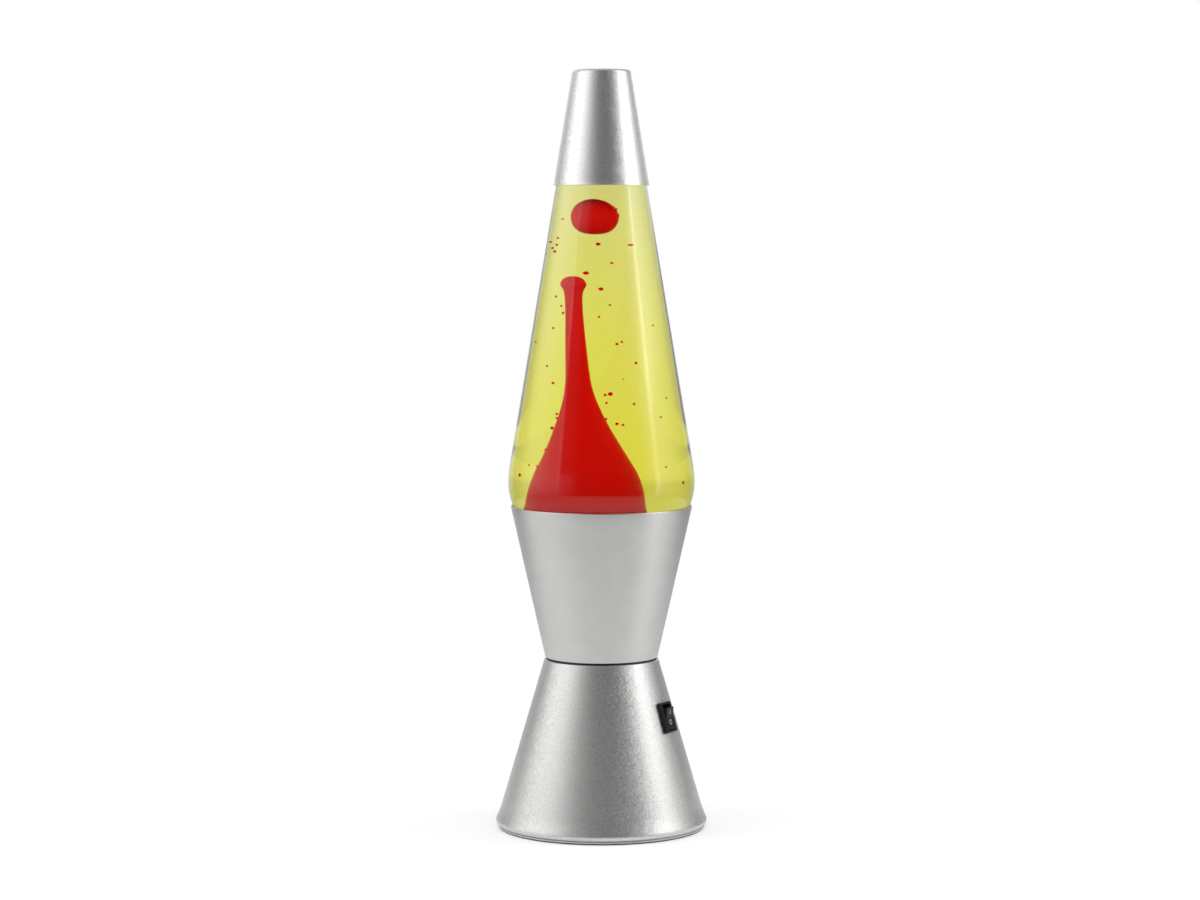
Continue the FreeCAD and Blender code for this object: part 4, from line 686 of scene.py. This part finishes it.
# Its inside is left unpolished
bowl.data.materials.append(unpolished)
bowl_slope = (rim_out - BOWL_R) / (RIM_Z - BOWL_Z)
for face in bowl.data.polygons:
    r, z = math.hypot(face.center.x, face.center.y) / MM, face.center.z / MM
    if z < RIM_Z - 0.5 and r < BOWL_R + bowl_slope * (z - BOWL_Z) - 0.6 * BOWL_WALL:
        face.material_index = 1
seat(bowl, "base", "bowl", slot="satin_aluminium")


# Crown closure: a domed disc over a fluted skirt
CROWN_TOP, CROWN_R, SKIRT_TOP, SKIRT_FOOT, FLUTES = 342.9, 13.75, 341.6, 336.7, 21


def crown_shape(a, r, z):
    depth = max(0.0, min(1.0, (SKIRT_TOP - z) / 4.6))
    wave = 0.5 + 0.5 * math.cos(FLUTES * a)
    r += depth * (0.95 * wave - 0.1)
    return (r * math.cos(a), r * math.sin(a), z)


crown_points = outline([
    (0, CROWN_TOP), (CROWN_R, CROWN_TOP, 1.0), (13.8, SKIRT_FOOT, 0.1), (13.55, SKIRT_FOOT, 0.1),
    (13.5, 342.6), (0, 342.6)])
seat(lathe("crown_closure", up_along(crown_points, 0.6), nickel, 252, 50, shape=crown_shape),
     "globe", "crown_cap", slot="nickel")


# Rocker switch, in its own frame on the lower cone: X up the slope, Z out. CONE_OUT and CONE_UP are the
# parts of the cone's outward direction that point away from the axis and up.
CONE_OUT, CONE_UP = 0.95940, 0.28204
SWITCH_R, SWITCH_Z = 35.570, 56
TILT, PIN_DEPTH = math.radians(10.5), 1.2


def switch_place(tilt=0.0, drop=0.0):
    out = Vector((CONE_OUT, 0, CONE_UP))
    up = Vector((-CONE_UP, 0, CONE_OUT))
    turned = Matrix((up, out.cross(up), out)).transposed().to_4x4()
    turned.translation = (Vector((SWITCH_R, 0, SWITCH_Z)) + out * -drop) * MM
    return turned @ Matrix.Rotation(-tilt, 4, "Y")


# Its housing, from the outside of the box over the bezel and down inside: length, width, corner, height
HOUSING = [
    (13.2, 8.5, 0.5, -10.5), (13.2, 8.5, 0.5, 0), (14.6, 10.1, 0.7, 0), (15, 10.5, 0.8, 0.25),
    (15, 10.5, 0.8, 1.35), (14.7, 10.2, 0.7, 1.78), (14.3, 9.8, 0.6, 1.95), (13.9, 9.4, 0.5, 2.0),
    (12.9, 7.7, 0.4, 2.0), (12.6, 7.4, 0.3, 1.85), (12.5, 7.2, 0.3, 1.5), (12.5, 7.2, 0.3, -9.3),
]
housing_rings = [rounded_rectangle(*row) for row in HOUSING]
seat(loft("switch_bezel_housing", housing_rings, black_plastic, 40, switch_place()),
     "base", "switch_housing", slot="black_plastic")
ROCKER_RISE, ROCKER_HALF, ROCKER_HOLLOW = 3.4, 5.3, 0.12
rocker_place = switch_place(TILT, PIN_DEPTH)
rocker_end = ROCKER_RISE + ROCKER_HALF * math.tan(TILT)


def rocker_face(x):
    """Height of the rocker's face: each half slopes up from the middle and is a little hollow."""
    hollow = ROCKER_HOLLOW * math.sin(math.pi * abs(x) / ROCKER_HALF)
    return ROCKER_RISE + abs(x) * math.tan(TILT) - hollow


def rocker_body():
    cuts = [ROCKER_HALF * k / 12 for k in range(11, -12, -1)]
    profile = [(-2.4, -2.6), (2.4, -2.6), (4.7, 0), (ROCKER_HALF, rocker_end)]
    profile += [(x, rocker_face(x)) for x in cuts]
    profile += [(-ROCKER_HALF, rocker_end), (-4.7, 0)]
    rings = [[(x, y, z) for x, z in profile] for y in (-3.4, -1.7, 0, 1.7, 3.4)]
    thing = loft("switch_rocker_cap", rings, black_plastic, 30, rocker_place)
    edges = thing.modifiers.new("edges", "BEVEL")
    edges.width = 0.3 * MM
    edges.segments = 3
    edges.limit_method = "ANGLE"
    edges.angle_limit = math.radians(40)
    return apply(thing)


seat(rocker_body(), "rocker", "switch_rocker", slot="black_plastic")


def rocker_mark(name, ring):
    """A printed ring or bar, a hair above one half of the rocker's face, that follows its hollow."""
    middle = -1.9 if ring else 2.9

    def laid(x, y, z):
        return (middle + x, y, rocker_face(middle + x) + z)

    if ring:
        points = [(0.93, 0.0), (0.95, 0.035), (1.17, 0.035), (1.19, 0.0), (0.93, 0.0)]
        return lathe(name, points, white_mark, 48, 30, rocker_place,
                     lambda a, r, z: laid(r * math.cos(a), r * math.sin(a), z))
    rings = []
    for step, z in ((0, -0.01), (0, 0.025), (0.05, 0.035)):
        edge = rounded_rectangle(1.9 - step, 0.32 - step, 0.12 - step / 2, z)
        rings.append([laid(*spot) for spot in edge])
    return loft(name, rings, white_mark, 30, rocker_place)


seat(rocker_mark("switch_mark_off", True), "rocker", slot="white_plastic")
seat(rocker_mark("switch_mark_on", False), "rocker", slot="white_plastic")


# Cord bush in the rear wall, with a rounded flange and a snap barb
BUSH_R, BUSH_Z = 47.917, 14


def bush_place():
    out = Vector((-CONE_OUT, 0, CONE_UP))
    up = Vector((CONE_UP, 0, CONE_OUT))
    turned = Matrix((up, out.cross(up), out)).transposed().to_4x4()
    turned.translation = Vector((-BUSH_R, 0, BUSH_Z)) * MM
    return turned


bush_points = outline([
    (3.3, -5.0, 0.2), (4.55, -5.0, 0.15), (5.2, -1.5, 0.1), (4.55, -1.5), (4.55, 0.15),
    (6.0, 0.15, 0.15), (6.0, 1.6, 0.8), (3.3, 1.6, 0.4)], closed=True)
seat(lathe("cord_bush_moulding", bush_points, black_plastic, 96, 35, bush_place()),
     "base", "cord_bush", slot="black_plastic")


# Screws with a domed head and a cross recess
def pan_screw(name, y, seat_z, upward, radius, length, head, height):
    """upward: the shank points up, and the head hangs under its seat."""
    crown = outline([(0, height), (head * 0.55, height * 0.93, 1.5), (head, height * 0.35, 0.5),
                     (head, 0, 0.12), (radius, 0)])
    shank, pitch, groove = [], 0.7, 0.22
    for k in range(int((length - 1.2) / pitch)):
        z = -k * pitch - 0.4
        shank += [(radius - groove, z), (radius, z - pitch / 2)]
    points = crown + shank + [(radius - groove, -length + 0.6), (0.4, -length), (0, -length)]
    flip = Matrix.Rotation(math.pi, 4, "X") if upward else Matrix.Identity(4)
    place = Matrix.Translation(Vector((0, y, seat_z)) * MM) @ flip
    thing = lathe(name, points, steel, 64, 35)
    arm, reach, depth = 0.34 * head / 2, head * 0.62, height * 0.62
    cutter = bmesh.new()
    for turn in (0, 90):
        made = bmesh.ops.create_cube(cutter, size=1.0)
        for v in made["verts"]:
            narrow = 0.55 if v.co.z < 0 else 1.0
            spot = Vector((v.co.x * 2 * reach * narrow, v.co.y * 2 * arm * narrow, 0))
            spot = Matrix.Rotation(math.radians(turn), 3, "Z") @ spot
            v.co = Vector((spot.x, spot.y, height + 0.3 if v.co.z > 0 else height - depth)) * MM
    tool_mesh = bpy.data.meshes.new("recess")
    cutter.to_mesh(tool_mesh)
    cutter.free()
    tool = bpy.data.objects.new("recess", tool_mesh)
    bpy.context.scene.collection.objects.link(tool)
    carve = thing.modifiers.new("recess", "BOOLEAN")
    carve.object = tool
    carve.operation = "DIFFERENCE"
    carve.solver = "EXACT"
    carve.use_self = True
    thing = apply(thing)
    bpy.data.objects.remove(tool)
    thing.data.transform(place)
    return seat(thing, "base", slot="steel")


STRAP_TOP, COVER_SEAT, PILLAR_Y, BLOCK_Y = 36.0, 4.0, 30.0, 17.5
LARGE_SCREW = {"radius": 1.9, "length": 9.0, "head": 3.6, "height": 1.6}
SMALL_SCREW = {"radius": 1.45, "length": 5.0, "head": 2.7, "height": 1.3}
for label, seat_z, upward in (("cover_screws", COVER_SEAT, True), ("pillar_screws", STRAP_TOP, False)):
    for sign, hand in ((1, "left"), (-1, "right")):
        made = pan_screw(f"{label[:-1]}_{hand}", PILLAR_Y * sign, seat_z, upward, **LARGE_SCREW)
        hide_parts(label)
made = pan_screw("terminal_block_screw", BLOCK_Y, STRAP_TOP, False, **SMALL_SCREW)
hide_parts("block_screw")


# Screw shell of the lampholder and the bulb's own cap, whose threads run in step
PITCH = 2.82


def threaded(name, points, depth, low, high, material):
    """A turned piece with a thread between two heights, which fades in and out over 1.5 mm."""
    def shape(a, r, z):
        fade = max(0.0, min(1.0, (z - low) / 1.5, (high - z) / 1.5))
        r += depth * fade * math.sin(2 * math.pi * (z / PITCH) - a)
        return (r * math.cos(a), r * math.sin(a), z)
    return lathe(name, up_along(points, 0.35), material, 128, 45, shape=shape)


shell_low, shell_high = (corner.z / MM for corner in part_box("socket_shell"))
shell_points = [
    (7.12, shell_low), (7.12, shell_high), (7.4, shell_high), (7.4, shell_low), (7.12, shell_low)]
seat(threaded("socket_screw_shell", shell_points, 0.14, shell_low, shell_high, brass),
     "base", "socket_shell", slot="brass")
cap_low, cap_high = (corner.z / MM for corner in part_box("bulb_cap"))
cap_profile = [
    (4.9, cap_low), (5.3, cap_low), (6.45, cap_low + 1.4), (6.5, cap_high - 0.5), (6.7, cap_high),
    (6.3, cap_high), (6.1, cap_high - 0.5), (6.05, cap_low + 1.8), (4.9, cap_low + 0.4), (4.9, cap_low)]
seat(threaded("bulb_screw_cap", cap_profile, 0.2, cap_low + 1.5, cap_high - 3.5, nickel),
     "bulb", "bulb_cap", slot="nickel")


# Silvering on the inside of the bulb's reflector
def silvering():
    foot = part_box("bulb_contact")[0].z / MM
    (neck_r, neck_z), (belly_r, belly_z), bend = (8.8, foot + 33), (19.5, foot + 56), 34
    face, back = 0.9, 1.0
    points = outline([
        (neck_r - face, neck_z, 0, bend - face), (belly_r - face, belly_z),
        (belly_r - back, belly_z, 0, back - bend), (neck_r - back, neck_z)], closed=True)
    return lathe("bulb_silvering", points, silver_mirror, 128, 40)


seat(silvering(), "bulb", slot="nickel")


# Coiled filament on its supports
def filament():
    low, high = (corner.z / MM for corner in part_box("bulb_filament"))
    level, half, coil, spots = high - 0.3, 6.5, 0.26, 90
    points = [(0, -0.6, low), (0, -0.6, low + 3), (-0.2, -half, level - 0.6)]
    for k in range(spots + 1):
        a = -math.pi / 2 + math.pi * k / spots
        b = 2 * math.pi * k / 4
        r = half - 0.4 + coil * math.cos(b)
        points.append((r * math.cos(a), r * math.sin(a), level - 0.1 + coil * math.sin(b)))
    points += [(-0.2, half, level - 0.6), (0, 0.6, low + 3), (0, 0.6, low)]
    return wire("bulb_coiled_filament", points, 0.11, tungsten)


seat(filament(), "bulb", "bulb_filament", slot="steel")


# Plunger spring in the rocker
def spring():
    turns, steps, radius, low, high = 6, 14, 0.66, -1.15, 1.45
    points = []
    for k in range(turns * steps + 1):
        a = 2 * math.pi * k / steps
        z = low + (high - low) * k / (turns * steps)
        points.append((radius * math.cos(a), radius * math.sin(a), z))
    thing = wire("switch_coil_spring", points, 0.12, steel)
    thing.data.transform(rocker_place)
    return thing


seat(spring(), "rocker", "switch_spring", slot="steel")


# Stage: a pale floor and a white surround that camera, gloss and glass see at levels of their own
def feed(tree, given, socket):
    """Gives a socket a number, or what another socket puts out."""
    if isinstance(given, bpy.types.NodeSocket):
        tree.links.new(given, socket)
    else:
        socket.default_value = given


def worked(tree, operation, first, second):
    made = tree.nodes.new("ShaderNodeMath")
    made.operation = operation
    feed(tree, first, made.inputs[0])
    feed(tree, second, made.inputs[1])
    return made.outputs[0]


def ranged(tree, value, start, end, low, high):
    made = tree.nodes.new("ShaderNodeMapRange")
    made.interpolation_type = "SMOOTHSTEP"
    for socket, given in (("From Min", start), ("From Max", end), ("To Min", low), ("To Max", high)):
        made.inputs[socket].default_value = given
    tree.links.new(value, made.inputs["Value"])
    return made.outputs[0]


def ramp(tree, value, stops):
    made = tree.nodes.new("ShaderNodeValToRGB")
    elements = made.color_ramp.elements
    while len(elements) < len(stops):
        elements.new(0.5)
    for element, (position, level) in zip(elements, stops):
        element.position = position
        element.color = (level, level, level, 1)
    tree.links.new(value, made.inputs["Fac"])
    return made.outputs["Color"]


def blend(tree, share, first, second):
    made = tree.nodes.new("ShaderNodeMix")
    tree.links.new(share, made.inputs["Factor"])
    feed(tree, first, made.inputs["A"])
    feed(tree, second, made.inputs["B"])
    return made.outputs[0]


def level_by_ray(tree, plain, camera, glossy, through, inside):
    """Strength for a ray: plain on matt surfaces, through for glass, inside for what glass holds."""
    rays = tree.nodes.new("ShaderNodeLightPath").outputs
    held = worked(tree, "MULTIPLY", rays["Is Transmission Ray"], rays["Diffuse Depth"])
    held.node.use_clamp = True
    level = blend(tree, rays["Is Camera Ray"], plain, camera)
    level = blend(tree, rays["Is Glossy Ray"], level, glossy)
    level = blend(tree, rays["Is Transmission Ray"], level, through)
    return blend(tree, held, level, inside)


world = bpy.data.worlds.new("studio")
bpy.context.scene.world = world
world.use_nodes = True
tree = world.node_tree
sky = tree.nodes["Background"]
sky.inputs["Color"].default_value = (1, 1, 1, 1)
strength = level_by_ray(tree, plain=0.75, camera=1.0, glossy=0.4, through=0.75, inside=1.4)
tree.links.new(strength, sky.inputs["Strength"])

# Metres from the axis: where the matt floor, which takes shadows, turns into an even white, and where
# what glass shows of that white grows dimmer
FLOOR_NEAR, FLOOR_FAR, DIM_FROM, DIM_TO = 0.18, 0.75, 0.9, 4.0
floor_look = bpy.data.materials.new("pale_floor")
floor_look.use_nodes = True
tree = floor_look.node_tree
matte = tree.nodes["Principled BSDF"]
matte.inputs["Base Color"].default_value = (0.75, 0.75, 0.75, 1)
matte.inputs["Roughness"].default_value = 1.0
matte.inputs["Specular IOR Level"].default_value = 0.0
where = tree.nodes.new("ShaderNodeTexCoord")
reach = tree.nodes.new("ShaderNodeVectorMath")
reach.operation = "LENGTH"
tree.links.new(where.outputs["Object"], reach.inputs[0])
far = ranged(tree, reach.outputs["Value"], FLOOR_NEAR, FLOOR_FAR, 0, 1)
glow = tree.nodes.new("ShaderNodeEmission")
strength = level_by_ray(tree, plain=0.0, camera=0.34, glossy=0.15, through=0.3, inside=0.1)
tree.links.new(strength, glow.inputs["Strength"])
white = tree.nodes.new("ShaderNodeEmission")
depth = ranged(tree, reach.outputs["Value"], DIM_FROM, DIM_TO, 0.94, 0.75)
strength = level_by_ray(tree, plain=0.75, camera=1.0, glossy=0.5, through=depth, inside=1.25)
tree.links.new(strength, white.inputs["Strength"])
joined = tree.nodes.new("ShaderNodeAddShader")
choose = tree.nodes.new("ShaderNodeMixShader")
tree.links.new(matte.outputs[0], joined.inputs[0])
tree.links.new(glow.outputs[0], joined.inputs[1])
tree.links.new(far, choose.inputs["Fac"])
tree.links.new(joined.outputs[0], choose.inputs[1])
tree.links.new(white.outputs[0], choose.inputs[2])
tree.links.new(choose.outputs[0], tree.nodes["Material Output"].inputs["Surface"])
floor_look.cycles.emission_sampling = "NONE"
lathe("floor", [(0, 0), (400, 0), (1500, 0), (6000, 0)], floor_look, 96)

# Levels that gloss sees round the lamp, by the bearing from the camera, right positive, and by height
SURROUND = [
    (-180, 0.90), (-162, 1.00), (-146, 0.85), (-132, 0.12), (-118, 0.15), (-106, 0.95), (-94, 1.50),
    (-80, 1.45), (-66, 1.20), (-57, 0.98), (-54.5, 1.32), (-52, 1.27), (-50.5, 0.62), (-46, 0.58),
    (-38, 0.40), (-28, 0.04), (24, 0.01), (42, 0.05), (52, 0.22), (61, 0.86), (67, 1.70), (70, 4.00),
    (74, 4.00), (77.5, 2.40), (91, 1.35), (100, 0.75), (110, 0.22), (120, 0.08), (132, 0.08),
    (146, 0.70), (162, 0.95), (180, 0.90),
]
PEAK, TALL, SURROUND_R, SURROUND_FOOT = 4.0, 1.4, 600, 8
HEIGHTS = [
    (0.0, 0.5), (0.05, 0.7), (0.2, 1.15), (0.3, 1.0), (0.45, 1.0), (0.53, 0.9), (0.7, 0.9), (1.1, 0.4),
    (TALL, 0.4),
]
# The cap mirrors what lies above these heights, and sees the lights turned by this angle
CAP_FROM, CAP_TO, CAP_TWIST = 0.46, 0.5, math.radians(8)


def surround():
    look = bpy.data.materials.new("studio_surround")
    look.use_nodes = True
    tree = look.node_tree
    tree.nodes.clear()
    where = tree.nodes.new("ShaderNodeTexCoord")
    parts = tree.nodes.new("ShaderNodeSeparateXYZ")
    tree.links.new(where.outputs["Object"], parts.inputs[0])
    x, y, z = parts.outputs
    bearing = worked(tree, "ARCTAN2", x, worked(tree, "MULTIPLY", y, -1))
    seen = worked(tree, "SUBTRACT", bearing, ranged(tree, z, CAP_FROM, CAP_TO, 0, CAP_TWIST))
    share = tree.nodes.new("ShaderNodeMapRange")
    share.inputs["From Min"].default_value = -math.pi
    share.inputs["From Max"].default_value = math.pi
    tree.links.new(seen, share.inputs["Value"])
    round_about = [(degrees / 360 + 0.5, level / PEAK) for degrees, level in SURROUND]
    upward = [(height / TALL, level) for height, level in HEIGHTS]
    shine = tree.nodes.new("ShaderNodeEmission")
    tree.links.new(ramp(tree, share.outputs[0], round_about), shine.inputs["Color"])
    rise = ramp(tree, worked(tree, "DIVIDE", z, TALL), upward)

    # The left and the right light each grow with height
    left = ranged(tree, z, 0.3, 0.5, PEAK * 0.85, PEAK * 1.5)
    right = worked(tree, "MULTIPLY", ranged(tree, z, 0.29, 0.36, PEAK * 0.685, PEAK * 1.42),
                   ranged(tree, z, CAP_FROM, CAP_TO, 1, 0.9))
    sides = blend(tree, ranged(tree, x, -0.2, 0.2, 0, 1), left, right)

    # Between these heights, which the bottle mirrors, the left light ends sharply
    beside = worked(tree, "MULTIPLY", ranged(tree, bearing, math.radians(-52), math.radians(-50), 0, 1),
                    ranged(tree, bearing, math.radians(-20), 0, 1, 0))
    amid = worked(tree, "MULTIPLY", ranged(tree, z, 0.25, 0.29, 0, 1),
                  ranged(tree, z, 0.45, 0.48, 1, 0))
    kept = ranged(tree, worked(tree, "MULTIPLY", beside, amid), 0, 1, 1, 0.3)
    strength = worked(tree, "MULTIPLY", worked(tree, "MULTIPLY", sides, rise), kept)
    tree.links.new(strength, shine.inputs["Strength"])
    end = tree.nodes.new("ShaderNodeOutputMaterial")
    tree.links.new(shine.outputs[0], end.inputs["Surface"])
    look.cycles.emission_sampling = "NONE"
    wall = [(SURROUND_R, SURROUND_FOOT), (SURROUND_R, TALL / MM)]
    thing = lathe("studio_surround", wall, look, 180)
    thing.rotation_euler.z = BEARING
    for ray in ("camera", "diffuse", "transmission", "shadow"):
        setattr(thing, "visible_" + ray, False)


surround()


def soft_box(name, bearing, distance, height, width, tall, level):
    lamp = bpy.data.lights.new(name, "AREA")
    lamp.shape = "RECTANGLE"
    lamp.size, lamp.size_y = width, tall
    lamp.energy = level * math.pi * width * tall
    thing = bpy.data.objects.new(name, lamp)
    bpy.context.scene.collection.objects.link(thing)
    a = math.radians(bearing) + BEARING - math.pi / 2
    thing.location = (distance * math.cos(a), distance * math.sin(a), height)
    aim = Vector((0, 0, 0.2)) - thing.location
    thing.rotation_euler = aim.to_track_quat("-Z", "Y").to_euler()
    thing.visible_camera = False
    thing.visible_transmission = False
    thing.visible_glossy = False
    return thing


soft_box("left_box", bearing=-76, distance=1.25, height=0.65, width=0.75, tall=1.1, level=1.7)
soft_box("right_box", bearing=92, distance=1.25, height=0.65, width=0.5, tall=1.1, level=2.4)
soft_box("top_box", bearing=0, distance=0.35, height=1.7, width=0.9, tall=0.9, level=0.9)

# The photo's camera: metres away, to the left and up, and the degrees by which it looks down
AFAR, LEFTWARD, EYE_Z, LOOK_DOWN = 1.5766, 0.0007, 0.303, 4.302
eye = bpy.data.cameras.new("photo_camera")
eye.lens, eye.sensor_width = 97.7, 36
camera = bpy.data.objects.new("photo_camera", eye)
bpy.context.scene.collection.objects.link(camera)
back = Vector((math.sin(BEARING), -math.cos(BEARING), 0))
camera.location = back * AFAR - RIGHT * LEFTWARD + Vector((0, 0, EYE_Z))
camera.rotation_euler = (math.radians(90 - LOOK_DOWN), 0, BEARING)
bpy.context.scene.camera = camera
bpy.context.scene.view_settings.view_transform = "Standard"
